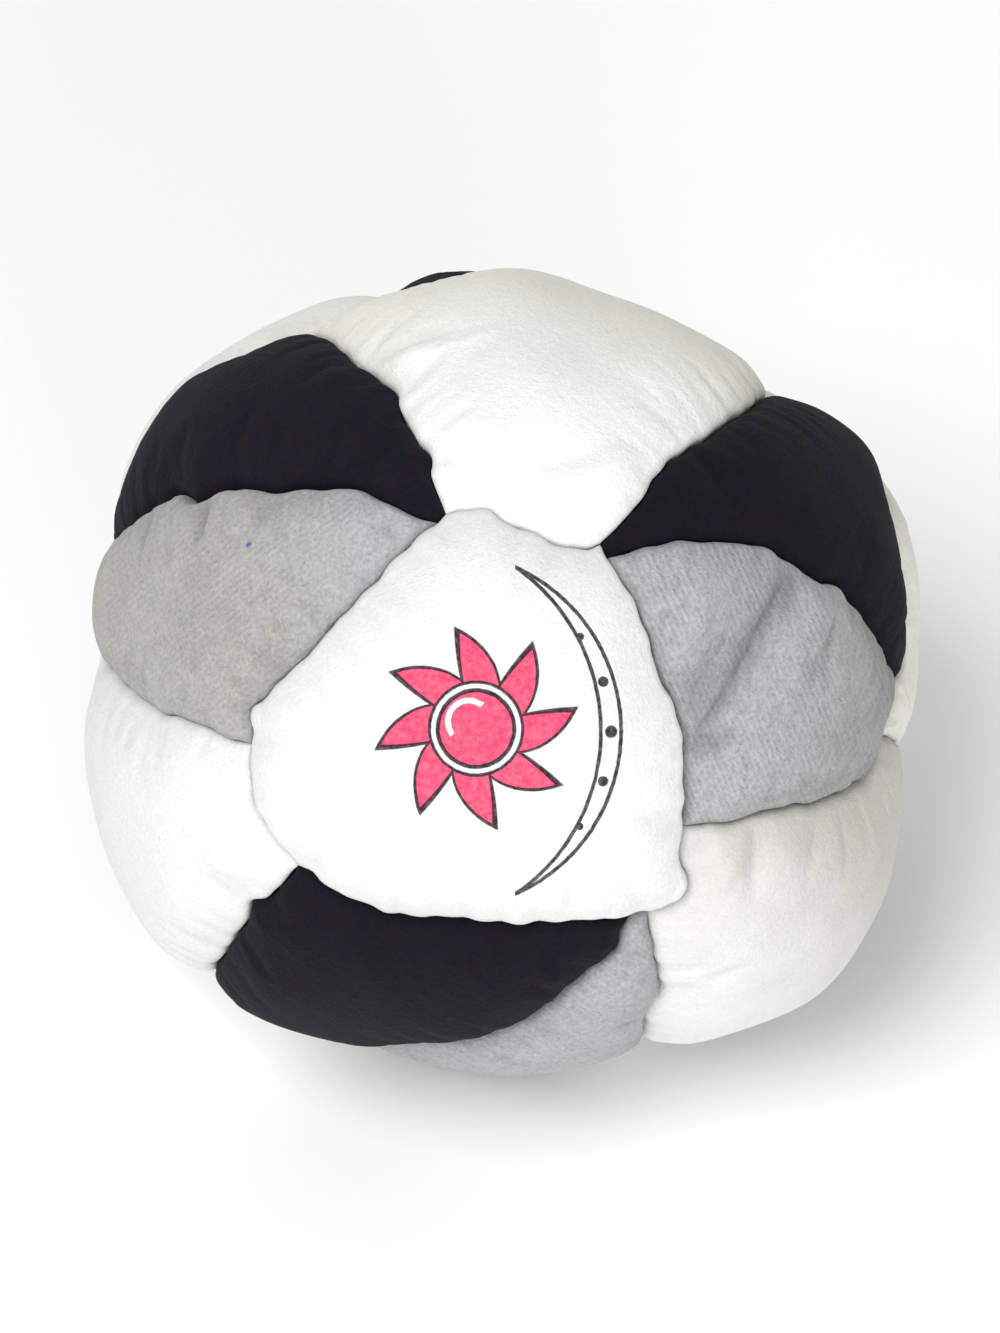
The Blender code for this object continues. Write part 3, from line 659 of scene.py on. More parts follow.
def pucker(skins):
    """Simulate every panel, then keep the small folds that form as each skin's relief (mm)."""
    verts, faces, spans, base = [], [], {}, 0
    for name, skin in skins.items():
        spans[name] = base, base + len(skin.q)
        verts.append(skin.face())
        faces += [tuple(int(k) + base for k in t) for t in skin.tris]
        base += len(skin.q)
    start = np.vstack(verts)
    mesh = bpy.data.meshes.new("simulated_cloth")
    mesh.from_pydata([tuple(p) for p in start * CLOTH_SCALE], [], faces)
    mesh.update()
    o = bpy.data.objects.new("simulated_cloth", mesh)
    bpy.context.scene.collection.objects.link(o)
    held = o.vertex_groups.new(name="held")
    far = np.concatenate([skin.far for skin in skins.values()])
    held.add([int(k) for k in np.nonzero(far < 0.45)[0]], 1.0, "REPLACE")
    cloth = o.modifiers.new("cloth", "CLOTH")
    c = cloth.settings
    c.vertex_group_mass = "held"
    c.quality = 5
    c.mass = 0.25
    c.air_damping = 2.0
    c.tension_stiffness = c.compression_stiffness = 22.0
    c.shear_stiffness = 10.0
    c.tension_damping = c.compression_damping = 6.0
    c.shear_damping = 6.0
    c.bending_stiffness = 1.2
    c.bending_damping = 0.6
    c.shrink_min = c.shrink_max = -CLOTH_SLACK
    c.use_pressure = True
    c.uniform_pressure_force = 3.0
    c.effector_weights.gravity = 0.0
    cloth.collision_settings.use_collision = False
    cloth.collision_settings.use_self_collision = False
    cloth.point_cache.frame_start, cloth.point_cache.frame_end = 1, CLOTH_FRAMES
    for f in range(1, CLOTH_FRAMES + 1):
        bpy.context.scene.frame_set(f)
    seen_mesh = o.evaluated_get(bpy.context.evaluated_depsgraph_get()).data
    end = np.empty(len(start) * 3)
    seen_mesh.vertices.foreach_get("co", end)
    end = end.reshape(-1, 3) / CLOTH_SCALE
    bpy.context.scene.frame_set(1)
    bpy.data.objects.remove(o, do_unlink=True)
    bpy.data.meshes.remove(mesh)
    for name, skin in skins.items():
        lo, hi = spans[name]
        rise = ((end[lo:hi] - start[lo:hi]) * skin.direction).sum(1)
        # take the broad swelling away: the crown already has it
        pair = np.vstack([skin.tris[:, [0, 1]], skin.tris[:, [1, 2]], skin.tris[:, [2, 0]]])
        pair = np.vstack([pair, pair[:, ::-1]])
        count = np.bincount(pair[:, 0], minlength=len(rise))
        broad = rise.copy()
        for _ in range(90):
            broad = 0.5 * broad + 0.5 * np.bincount(pair[:, 0], broad[pair[:, 1]], len(rise)) / count
        fine = (rise - broad) * (1 - np.exp(-skin.far / 0.9))
        gain = np.interp(skin.direction[:, 2], (-0.2, 0.1), (RELIEF_GAIN_BEHIND, RELIEF_GAIN))
        skin.relief = RELIEF_LIMIT * np.tanh(gain * fine / RELIEF_LIMIT)
        print(f"CLOTH {name}: rise {rise.mean():.2f} to {rise.max():.2f} mm, relief {skin.relief.std():.3f}, "
              f"{np.abs(skin.relief).max():.2f} mm")


def mesh_object(name, verts, faces, smooth=True):
    mesh = bpy.data.meshes.new(name)
    mesh.from_pydata([tuple(p) for p in verts * MM], [], faces)
    mesh.update()
    if smooth:
        mesh.shade_smooth()
    o = bpy.data.objects.new(name, mesh)
    bpy.context.scene.collection.objects.link(o)
    return o


def cloth_shell(skin, outer):
    """Closed panel of cloth: outer face, folded edge down to the hem, and inner face."""
    n, m = skin.n, len(outer)
    verts = np.vstack([outer, skin.wall(1.5), skin.wall(HEM_DEPTH), skin.inner()])
    w1, w2, inner = m, m + n, m + 2 * n
    faces = [tuple(t) for t in skin.tris] + [tuple(int(k) + inner for k in t[::-1]) for t in skin.tris]
    # the edge runs with the plane's turn
    ring = np.arange(n)
    a = skin.q[:n]
    if (a[:, 0] * np.roll(a[:, 1], -1) - a[:, 1] * np.roll(a[:, 0], -1)).sum() < 0:
        ring = ring[::-1]
    for i in range(n):
        p, q = int(ring[i]), int(ring[(i + 1) % n])
        for up, down in ((0, w1), (w1, w2), (w2, inner)):
            faces.append((p + up, p + down, q + down, q + up))
    o = mesh_object(skin.name + "_cloth", verts, faces)
    bm = bmesh.new()
    bm.from_mesh(o.data)
    if bm.calc_volume(signed=True) < 0:
        bmesh.ops.reverse_faces(bm, faces=bm.faces)
        bm.to_mesh(o.data)
    bm.free()
    o.data.shade_smooth()
    # distance from the seam, for the darker line along a folded edge
    far = np.zeros(len(verts), np.float32)
    far[:m] = skin.far
    o.data.attributes.new("seam_mm", "FLOAT", "POINT").data.foreach_set("value", far)
    # painted shade: how deep in a fold, for darkening the cloth's colour in its valleys
    painted_fold_shade = np.zeros(len(verts), np.float32)
    painted_fold_shade[:m] = skin.painted_fold_shade
    o.data.attributes.new("painted_fold_shade", "FLOAT", "POINT").data.foreach_set("value", painted_fold_shade)
    return o


# ---- procedural materials ----
class Graph:
    def __init__(self, name):
        self.material = bpy.data.materials.new(name)
        self.material.use_nodes = True
        self.tree = self.material.node_tree
        self.shader = self.tree.nodes["Principled BSDF"]
        self.place = self.node("ShaderNodeTexCoord").outputs["Object"]

    def node(self, kind, **values):
        n = self.tree.nodes.new(kind)
        for k, v in values.items():
            setattr(n, k, v)
        return n

    def put(self, socket, value):
        if isinstance(value, bpy.types.NodeSocket):
            self.tree.links.new(value, socket)
        else:
            socket.default_value = value

    def math(self, operation, *values, clamp=False):
        n = self.node("ShaderNodeMath", operation=operation, use_clamp=clamp)
        for socket, value in zip(n.inputs, values):
            self.put(socket, value)
        return n.outputs[0]

    def vector(self, operation, *values):
        n = self.node("ShaderNodeVectorMath", operation=operation)
        for socket, value in zip(n.inputs, values):
            self.put(socket, value)
        return n.outputs["Value"] if operation in ("DOT_PRODUCT", "LENGTH", "DISTANCE") else n.outputs["Vector"]

    def noise(self, size_mm, detail=3.0, roughness=0.55, vector=None, distortion=0.0):
        n = self.node("ShaderNodeTexNoise")
        self.put(n.inputs["Vector"], self.place if vector is None else vector)
        n.inputs["Scale"].default_value = 1000.0 / size_mm
        n.inputs["Detail"].default_value = detail
        n.inputs["Roughness"].default_value = roughness
        n.inputs["Distortion"].default_value = distortion
        return n.outputs["Fac"]

    def turned(self, rotation, scale):
        n = self.node("ShaderNodeMapping")
        self.put(n.inputs["Vector"], self.place)
        n.inputs["Rotation"].default_value = rotation
        n.inputs["Scale"].default_value = scale
        return n.outputs["Vector"]

    def span(self, value, low, high, to_low=0.0, to_high=1.0, smooth=False):
        n = self.node("ShaderNodeMapRange", interpolation_type="SMOOTHSTEP" if smooth else "LINEAR")
        self.put(n.inputs["Value"], value)
        n.inputs["From Min"].default_value, n.inputs["From Max"].default_value = low, high
        n.inputs["To Min"].default_value, n.inputs["To Max"].default_value = to_low, to_high
        return n.outputs["Result"]

    def mix(self, share, a, b, how="MIX"):
        n = self.node("ShaderNodeMix", data_type="RGBA", blend_type=how)
        self.put(n.inputs[0], share)
        for socket, value in ((n.inputs[6], a), (n.inputs[7], b)):
            self.put(socket, value if isinstance(value, bpy.types.NodeSocket) else (*value, 1.0))
        return n.outputs[2]

    def attribute(self, name):
        return self.node("ShaderNodeAttribute", attribute_name=name).outputs["Fac"]

    def bump(self, height, distance_mm, strength=1.0, below=None):
        n = self.node("ShaderNodeBump")
        self.put(n.inputs["Height"], height)
        n.inputs["Distance"].default_value = distance_mm * MM
        n.inputs["Strength"].default_value = strength
        if below is not None:
            self.put(n.inputs["Normal"], below)
        return n.outputs["Normal"]


def suede(name, colour, deep, pale, speck, sheen, sheen_tint=(1.0, 1.0, 1.0), streak=0.0, turn=(0.3, 0.5, 0.2),
          lint=None, edge=0.22, nap=0.10, printed=None, knit=None, painted_side_shade=None,
          fold_shade_strength=0.20, speck_at=None, pepper=0.0, away=tuple(OUT), fleck_hues=None):
    """Synthetic suede: mottled colour, short nap, soft sheen, and a darker line along the seams."""
    g = Graph(name)
    broad = g.span(g.noise(9.0, 2.0), 0.30, 0.70)
    cloud = g.span(g.noise(1.9, 3.0, 0.6), 0.30, 0.70)
    grain = g.span(g.noise(0.26, 2.0, 0.7), 0.28, 0.72)
    tint = g.mix(broad, deep, pale)
    tint = g.mix(0.45, colour, tint)
    shade = g.math("MULTIPLY_ADD", g.math("SUBTRACT", cloud, 0.5), speck * 0.40,
                   g.math("MULTIPLY_ADD", g.math("SUBTRACT", grain, 0.5), speck * 1.6, 1.0))
    if streak:
        lines = g.span(g.noise(0.55, 2.0, 0.5, g.turned(turn, (1.0, 0.16, 1.0))), 0.30, 0.70)
        shade = g.math("MULTIPLY_ADD", g.math("SUBTRACT", lines, 0.5), streak, shade)
    if edge:
        far = g.attribute("seam_mm")
        rim = g.span(far, 0.0, 0.75, 1.0 - edge, 1.0, smooth=True)
        shade = g.math("MULTIPLY", shade, rim)
    # painted shade: darker colour in the valleys of folds
    shade = g.math("MULTIPLY", shade, g.math("MULTIPLY_ADD", g.attribute("painted_fold_shade"), -fold_shade_strength, 1.0))
    rows = None
    if knit:
        # rows of the knitted backing that press through the nap, here more, there less
        angle, strength = knit
        across = math.cos(angle) * RIGHT + math.sin(angle) * UP
        along = math.cos(angle) * UP - math.sin(angle) * RIGHT
        drift = g.math("MULTIPLY", g.noise(2.2, 2.0), 5.0)
        course = g.math("MULTIPLY_ADD", g.vector("DOT_PRODUCT", g.place, tuple(across)), math.tau * 1000 / 0.40, drift)
        wale = g.math("MULTIPLY_ADD", g.vector("DOT_PRODUCT", g.place, tuple(along)), math.tau * 1000 / 0.52,
                      g.math("MULTIPLY", course, 0.5))
        loops = g.math("MULTIPLY", g.math("SINE", course), g.math("MULTIPLY_ADD", g.math("SINE", wale), 0.45, 0.75))
        worn = g.span(g.noise(3.6, 2.0, 0.5), 0.36, 0.62, 0.15, 1.0)
        rows = g.math("MULTIPLY", loops, worn)
        shade = g.math("MULTIPLY_ADD", rows, strength, shade)
    grey = g.node("ShaderNodeCombineColor")
    for k in range(3):
        g.put(grey.inputs[k], shade)
    if painted_side_shade:
        # painted shade: darker and warmer towards one side
        share, near, gone, shaded_by = painted_side_shade
        outward = g.math("MULTIPLY", g.vector("DOT_PRODUCT", g.vector("SUBTRACT", g.place, tuple(MIDDLE * MM)),
                                              away), 1000.0)
        side_shade = g.span(g.math("MULTIPLY_ADD", g.math("SUBTRACT", broad, 0.5), 5.0, outward), gone, near, share, 0.0,
                      smooth=True)
        tint = g.mix(side_shade, tint, tuple(np.array(colour) * shaded_by))
    if speck_at is not None:
        # painted light: paler and cooler towards the front panel
        across = g.math("MULTIPLY", g.vector("DOT_PRODUCT", g.vector("SUBTRACT", g.place, tuple(MIDDLE * MM)),
                                             tuple(RIGHT)), 1000.0)
        painted_light_side = g.span(g.math("MULTIPLY_ADD", g.math("SUBTRACT", broad, 0.5), 4.0, across), -16.0, -8.0, 0.0, 0.85,
                      smooth=True)
        tint = g.mix(painted_light_side, tint, tuple(np.array(colour) * (1.10, 1.13, 1.24)))
    tint = g.mix(1.0, tint, grey.outputs[0], "MULTIPLY")
    if fleck_hues:
        # fibres of slightly different dye lie side by side
        tint = g.mix(g.span(g.noise(0.42, 3.0, 0.7), 0.36, 0.64), fleck_hues[0], tint)
        tint = g.mix(g.span(g.noise(0.47, 3.0, 0.7, g.turned((0.3, 1.1, 0.6), (1.0, 1.0, 1.0))), 0.36, 0.64), tint,
                     fleck_hues[1])
    if lint:
        density, size, lint_colour = lint
        cells = g.node("ShaderNodeTexVoronoi", feature="F1")
        g.put(cells.inputs["Vector"], g.turned((0.4, 0.2, 0.9), (1.0, 1.0, 1.0)))
        cells.inputs["Scale"].default_value = 1000.0 / 3.0
        dot = g.span(cells.outputs["Distance"], 0.0, size / 3.0, 1.0, 0.0)
        split = g.node("ShaderNodeSeparateColor")
        g.put(split.inputs[0], cells.outputs["Color"])
        pick = g.math("GREATER_THAN", split.outputs[0], 1.0 - density)
        tint = g.mix(g.math("MULTIPLY", dot, pick, clamp=True), tint, lint_colour)
    if pepper:
        # tiny dark flecks between the fibres
        flecks = g.node("ShaderNodeTexVoronoi", feature="F1")
        g.put(flecks.inputs["Vector"], g.turned((0.9, 0.5, 0.1), (1.0, 1.0, 1.0)))
        flecks.inputs["Scale"].default_value = 1000.0 / 1.1
        fleck = g.span(flecks.outputs["Distance"], 0.03, 0.10, pepper, 0.0)
        split = g.node("ShaderNodeSeparateColor")
        g.put(split.inputs[0], flecks.outputs["Color"])
        some = g.math("GREATER_THAN", split.outputs[1], 0.62)
        tint = g.mix(g.math("MULTIPLY", fleck, some, clamp=True), tint, tuple(np.array(colour) * 0.42))
    if speck_at is not None:
        # one stray blue fibre
        fluff = g.vector("DISTANCE", g.place, tuple(speck_at))
        tint = g.mix(g.span(g.math("MULTIPLY_ADD", grain, 0.00012, fluff), 0.00016, 0.00030, 0.9, 0.0), tint,
                     (0.035, 0.075, 0.42))
    if printed:
        tint = printed(g, tint)
    g.put(g.shader.inputs["Base Color"], tint)
    g.put(g.shader.inputs["Roughness"], g.span(grain, 0.0, 1.0, 0.86, 1.0))
    g.shader.inputs["Specular IOR Level"].default_value = 0.18
    g.shader.inputs["Sheen Weight"].default_value = sheen
    g.shader.inputs["Sheen Roughness"].default_value = 0.55
    g.shader.inputs["Sheen Tint"].default_value = (*sheen_tint, 1.0)
    fibres = g.noise(0.16, 3.0, 0.65)
    pile = g.noise(0.55, 3.0, 0.6)
    height = g.math("MULTIPLY_ADD", pile, 1.6, fibres)
    if streak:
        height = g.math("MULTIPLY_ADD", lines, 0.8, height)
    if rows is not None:
        height = g.math("MULTIPLY_ADD", rows, knit[1] * 4, height)
    g.put(g.shader.inputs["Normal"], g.bump(height, nap, 0.8))
    return g.material


# ---- the ornament on the front panel: a flamed sun with two thin arcs ----
PRINT_PX = (512.0, 722.0)


def on_cloth(pixel, radius=FACING_RADIUS + WHITE_PUFF):
    """Place in the object's frame (mm) where the photograph's view shows the cloth at a pixel."""
    ray = np.array([(pixel[0] - CENTRE_PX[0]) / PX, (CENTRE_PX[1] - pixel[1]) / PX, -1.0])
    eye = np.array([0.0, 0.0, DISTANCE])
    b, c = eye @ ray, eye @ eye - radius ** 2
    return (eye + ray * ((-b - math.sqrt(b * b - ray @ ray * c)) / (ray @ ray))) @ VIEW + MIDDLE


def ornament(g, cloth):
    place = g.vector("SUBTRACT", g.place, tuple(on_cloth(PRINT_PX) * MM))
    x = g.math("MULTIPLY", g.vector("DOT_PRODUCT", place, tuple(RIGHT)), 1000.0)
    y = g.math("MULTIPLY", g.vector("DOT_PRODUCT", place, tuple(UP)), 1000.0)
    blur = g.math("SUBTRACT", g.noise(0.5, 2.0), 0.5)

    def radius(cx, cy):
        dx, dy = g.math("SUBTRACT", x, cx), g.math("SUBTRACT", y, cy)
        r = g.math("SQRT", g.math("ADD", g.math("MULTIPLY", dx, dx), g.math("MULTIPLY", dy, dy)))
        return dx, dy, g.math("MULTIPLY_ADD", blur, 0.10, r)

    def line(value, half):
        """One within half a millimetre figure of zero, fading over a tenth of that."""
        return g.span(g.math("ABSOLUTE", value), half, half + 0.05, 1.0, 0.0)

    def below(value, level):
        return g.span(value, level - 0.03, level + 0.03, 1.0, 0.0)

    # sun: eight curved flames round a disc
    dx, dy, r = radius(-2.3, -0.4)
    angle = g.math("ARCTAN2", dy, dx)
    turns = g.math("MULTIPLY_ADD", angle, 8 / math.tau, g.math("MULTIPLY", r, -0.115))
    tri = g.math("PINGPONG", turns, 0.5)
    reach = g.math("MULTIPLY_ADD", tri, 6.6, 3.15)
    flame = g.math("SUBTRACT", r, reach)
    flame_in = below(flame, 0.0)
    outside_disc = g.span(r, 2.95, 3.01, 0.0, 1.0)
    flame_line = g.math("MULTIPLY", line(g.math("MULTIPLY", flame, 0.50), 0.10), outside_disc)
    disc_in = below(r, 2.45)
    disc_line = line(g.math("SUBTRACT", r, 2.45), 0.11)
    ring_line = line(g.math("SUBTRACT", r, 2.98), 0.08)
    # a pale gleam on the disc
    _, _, rg = radius(-2.75, 0.05)
    gleam = g.math("MULTIPLY", line(g.math("SUBTRACT", rg, 1.35), 0.16),
                   g.math("LESS_THAN", g.math("ADD", dx, g.math("MULTIPLY", dy, -1.0)), -1.1))
    # two arcs on the right that meet in points, with dots between them
    ax, _, ra = radius(-4.6, -0.6)
    _, _, rb = radius(-7.2, -0.6)
    right_of = g.math("GREATER_THAN", ax, 4.80)
    arc_a = g.math("MULTIPLY", line(g.math("SUBTRACT", ra, 11.6), 0.10), right_of)
    arc_b = g.math("MULTIPLY", line(g.math("SUBTRACT", rb, 12.9), 0.10), right_of)
    dots = None
    for px, py, size in ((6.35, -0.6, 0.40), (5.85, 2.6, 0.34), (5.85, -3.8, 0.34), (4.35, 5.5, 0.26),
                         (4.35, -6.7, 0.26)):
        _, _, rd = radius(px, py)
        dot = below(rd, size)
        dots = dot if dots is None else g.math("MAXIMUM", dots, dot)
    coral_in = g.math("MULTIPLY", g.math("MAXIMUM", g.math("MULTIPLY", flame_in, outside_disc), disc_in),
                      g.math("SUBTRACT", 1.0, gleam))
    dark_in = g.math("MAXIMUM", g.math("MAXIMUM", flame_line, disc_line), g.math("MAXIMUM", ring_line, dots))
    dark_in = g.math("MAXIMUM", dark_in, g.math("MAXIMUM", arc_a, arc_b))
    worn = g.span(g.noise(0.35, 3.0, 0.7), 0.30, 0.62, 0.86, 1.0)
    tint = g.mix(g.math("MULTIPLY", coral_in, worn), cloth, CORAL)
    return g.mix(g.math("MULTIPLY", dark_in, worn), tint, INK)


CORAL, INK = (0.80, 0.053, 0.146), (0.016, 0.013, 0.022)
# each white panel's colour: partly the cloth's own tone, partly painted light and shade set panel by panel, the top's
# paler value most of all
WHITE_TONE_AND_LIGHT = {
    "front": (0.765, 0.765, 0.760), "left": (0.745, 0.745, 0.745), "top": (0.845, 0.844, 0.835),
    "right": (0.765, 0.765, 0.768), "back_left": (0.775, 0.768, 0.735), "back_right": (0.760, 0.745, 0.680),
    "bottom": (0.775, 0.768, 0.742), "back_low": (0.765, 0.757, 0.722),
}
# painted shade: share, depth (mm) where it begins, depth where it is complete, and the shaded colour over the lit one
WHITE_SIDE_SHADE = {"top": (0.80, 20.0, 8.0, (0.90, 0.89, 0.775)), "right": (1.0, 13.0, -4.0, (0.70, 0.672, 0.622)),
         "left": (0.30, 10.0, 0.0, (0.94, 0.92, 0.84))}


def white_suede(name, colour, printed=None, painted_side_shade=None):
    c = np.array(colour)
    return suede(name, colour, tuple(c * (0.95, 0.945, 0.92)), tuple(np.minimum(c * 1.04, 0.93)), 0.055, 0.25,
                 (1.0, 0.99, 0.96), lint=(0.02, 0.10, (0.62, 0.60, 0.56)), edge=0.10, nap=0.09, printed=printed, painted_side_shade=painted_side_shade,
                 knit=(0.6, 0.004), fold_shade_strength=0.13, pepper=0.16,
                 away=tuple(-0.5 * RIGHT - 0.866 * UP) if name.endswith("suede_right") else tuple(OUT))


def grey_suede(name, colour, streak, turn, knit, speck_at=None, speck=0.22, side_shade=None):
    c = np.array(colour)
    return suede(name, colour, tuple(c * 0.86), tuple(c * 1.14), speck, 0.22, (0.95, 0.96, 1.0), streak=streak,
                 turn=turn, lint=(0.05, 0.13, (0.55, 0.55, 0.56)), edge=0.22, nap=0.11, knit=knit,
                 fold_shade_strength=0.42, speck_at=speck_at, pepper=0.75, painted_side_shade=side_shade)


def black_suede(name, colour):
    c = np.array(colour)
    return suede(name, colour, tuple(c * 0.75), tuple(c * 1.35), 0.45, 0.022, (0.80, 0.82, 1.0),
                 lint=(0.035, 0.11, (0.08, 0.08, 0.09)), edge=0.0, nap=0.10,
                 fleck_hues=(tuple(c * (1.9, 0.75, 0.8)), tuple(c * (0.35, 0.8, 1.5))))


GREYS = {
    "upper_left": ((0.372, 0.366, 0.350), 0.12, (0.2, 0.4, 0.3), (2.2, 0.060)),
    "upper_right": ((0.372, 0.374, 0.382), 0.20, (0.9, 0.3, 0.9), (0.42, 0.085)),
    "front_low": ((0.372, 0.375, 0.387), 0.16, (0.5, 0.8, 0.1), (0.9, 0.05)),
}
# painted shade on two grey panels, in the same columns
GREY_SIDE_SHADE = {"upper_right": (1.0, 20.0, 9.0, (0.70, 0.695, 0.65)), "upper_left": (1.0, 14.0, 4.0, (1.01, 0.985, 0.94))}
# painted shade: darker copies of the black for two panels
BLACK_SHADE = {"upper_right": 0.78, "front_low": 0.85}

# ---- panels ----
skins, made = {}, {}
for white in WHITES:
    loop, stitch = white_loop(white)
    skins["white_panel_" + white] = Skin("white_panel_" + white, loop, stitch, WHITE_PUFF)
for s in NEIGHBOURS:
    for corner in NEIGHBOURS[s]:
        if corner in SPLIT_ENDS[s]:
            continue
        name = ("grey_panel_" if corner == GREY_CORNER[s] else "black_panel_") + SQUARE_NAMES[s]
        loop, stitch = half_loop(s, corner)
        skins[name] = Skin(name, loop, stitch, HALF_PUFF)


pucker(skins)


def flat_size(skin, hem):
    """Sides (mm) of the smallest rectangle that the laid-out panel with its hem is cut from."""
    best = None
    for turn in np.radians(np.arange(0, 90, 1.5)):
        axes2 = np.array([[math.cos(turn), math.sin(turn)], [-math.sin(turn), math.cos(turn)]])
        span = np.ptp(skin.line @ axes2.T, axis=0) + 2 * hem
        if best is None or span[0] * span[1] < best[0] * best[1]:
            best = span
    return sorted(float(x) for x in best)


def surface_area(o):
    o.data.calc_loop_triangles()
    return sum(t.area for t in o.data.loop_triangles)


STRETCH = 1.04     # how far the filled bag stretches its cloth, area against area
for name, skin in skins.items():
    o = cloth_shell(skin, skin.outer())
    kind, _, where = name.partition("_panel_")
    if kind == "white":
        o.data.materials.append(white_suede("white_suede_" + where, WHITE_TONE_AND_LIGHT[where],
                                            ornament if where == "front" else None, WHITE_SIDE_SHADE.get(where)))
    elif kind == "grey":
        colour, streak, turn, knit = GREYS.get(where, ((0.365, 0.362, 0.358), 0.2, (0.7, 0.2, 0.5), (1.3, 0.05)))
        fibre = None
        if where == "upper_left":
            # the outer face's point nearest the pixel that shows it
            face = skin.face()
            seen_at = np.linalg.norm(in_photo(face) - (248, 545), axis=1) + 1000 * (face[:, 2] < 0)
            fibre = skin.outer()[seen_at.argmin()] * MM
        o.data.materials.append(grey_suede("grey_suede_" + where, colour, streak, turn, knit, fibre,
                                           side_shade=GREY_SIDE_SHADE.get(where)))
    else:
        o.data.materials.append(black_suede("black_suede_" + where,
                                            tuple(BLACK_SHADE.get(where, 1.0) * np.array((0.0066, 0.0048, 0.0080)))))
    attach(o, "root")
    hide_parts(name)
    wide, long = flat_size(skin, HEM_DEPTH)
    cut = surface_area(o) / 2 / STRETCH
    if cut > wide * long * 1e-6:
        wide, long = (x * math.sqrt(cut / (wide * long * 1e-6)) for x in (wide, long))
    print(f"SHEET {name}: {wide:.1f} x {long:.1f} mm, {cut * 1e6:.0f} mm2, {len(o.data.polygons)} faces")
    made[name] = o

# ---- sewing thread: it runs inside one fold, crosses the seam, and runs inside the other ----
def cotton():
    g = Graph("sewing_thread_cotton")
    twist = g.span(g.noise(0.12, 2.0, 0.5, g.turned((0.6, 0.3, 0.8), (1.0, 1.0, 3.0))), 0.3, 0.7)
    g.put(g.shader.inputs["Base Color"], g.mix(twist, (0.16, 0.16, 0.17), (0.30, 0.30, 0.31)))
    g.put(g.shader.inputs["Roughness"], g.span(twist, 0.0, 1.0, 0.65, 0.85))
    g.shader.inputs["Sheen Weight"].default_value = 0.2
    g.put(g.shader.inputs["Normal"], g.bump(twist, 0.04, 0.6))
    return g.material


COTTON = cotton()


def sewn_thread(node, seams, closed):
    """Thread along seams laid end to end. seams holds (directions, run, stitch places)."""
    vs, sides, way = [], [], 1.0
    for v, s, at in seams:
        swing = np.ones(len(s))
        for a in sorted(at):
            swing = np.where(s > a - 0.35, np.clip((s - a) / 0.35, -1, 1) * -1, swing) if way > 0 else \
                np.where(s > a - 0.35, np.clip((s - a) / 0.35, -1, 1), swing)
            way = -way
        sides.append(swing[:-1] if closed else swing)
        vs.append(v[:-1] if closed else v)
    v, swing = np.vstack(vs), np.concatenate(sides)
    # soften the swing and lay the thread across the seam line
    kernel = np.array([0.25, 0.5, 0.25])
    pad = np.r_[swing[-1:], swing, swing[:1]] if closed else np.r_[swing[:1], swing, swing[-1:]]
    swing = np.convolve(pad, kernel, "valid")
    ahead = (np.roll(v, -1, axis=0) - np.roll(v, 1, axis=0)) if closed else np.gradient(v, axis=0)
    aside = unit(np.cross(v, ahead))
    depth = 1.12 + 0.30 * np.abs(swing) + 1.4 * corner_dent(v)
    u = unit(v + aside * (swing * 0.36 / FACING_RADIUS)[:, None])
    places = to_world(u * (seam_radius(v) - depth)[:, None], 1.12) * MM
    curve = bpy.data.curves.new(node, "CURVE")
    curve.dimensions = "3D"
    curve.bevel_depth = THREAD_RADIUS * MM
    curve.bevel_resolution = 2
    curve.use_fill_caps = not closed
    spline = curve.splines.new("POLY")
    spline.points.add(len(places) - 1)
    for point, q in zip(spline.points, places):
        point.co = (*q, 1.0)
    spline.use_cyclic_u = closed
    lead = bpy.data.objects.new(node + "_line", curve)
    bpy.context.scene.collection.objects.link(lead)
    mesh = bpy.data.meshes.new_from_object(lead.evaluated_get(bpy.context.evaluated_depsgraph_get()))
    bpy.data.objects.remove(lead, do_unlink=True)
    bm = bmesh.new()
    bm.from_mesh(mesh)
    bmesh.ops.remove_doubles(bm, verts=bm.verts, dist=1e-7)
    bm.to_mesh(mesh)
    bm.free()
    mesh.materials.clear()
    o = bpy.data.objects.new(node + "_sewn", mesh)
    bpy.context.scene.collection.objects.link(o)
    o.data.shade_smooth()
    o.data.materials.append(COTTON)
    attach(o, "root")
    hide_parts(node)
    return o


def directed(seam, start):
    if np.linalg.norm(seam.v[0] - start) > np.linalg.norm(seam.v[-1] - start):
        return seam.v[::-1], seam.s[-1] - seam.s[::-1], seam.s[-1] - seam.stitches
    return seam.v, seam.s, seam.stitches


def cut_back(seam, trim=0.8):
    keep = (seam.s > trim) & (seam.s < seam.s[-1] - trim)
    return seam.v[keep], seam.s[keep], seam.stitches


for s, ring in NEIGHBOURS.items():
    run = []
    for i in range(4):
        n0, n1 = ring[i], ring[(i + 1) % 4]
        run.append(directed(SIDES[s, white_of(s, n0, n1)], POINTS[corner_of(s, n0) + "." + s]))
    sewn_thread("square_seam_thread_" + SQUARE_NAMES[s], run, True)
    sewn_thread("split_seam_thread_" + SQUARE_NAMES[s], [cut_back(SPLITS[s])], False)
for ab in CORNERS:
    sewn_thread("short_seam_thread_" + CORNER_NAMES[ab], [cut_back(SHORTS[ab])], False)


# ---- pellet fill: packed beads press into one lumpy mass under the cloth ----
def pellets():
    g = Graph("pellet_plastic")
    cloud = g.span(g.noise(2.5, 2.0), 0.3, 0.7)
    g.put(g.shader.inputs["Base Color"], g.mix(cloud, (0.62, 0.61, 0.56), (0.78, 0.77, 0.73)))
    g.put(g.shader.inputs["Roughness"], g.span(cloud, 0.0, 1.0, 0.35, 0.50))
    g.put(g.shader.inputs["Normal"], g.bump(g.noise(0.4, 2.0), 0.03, 0.5))
    return g.material


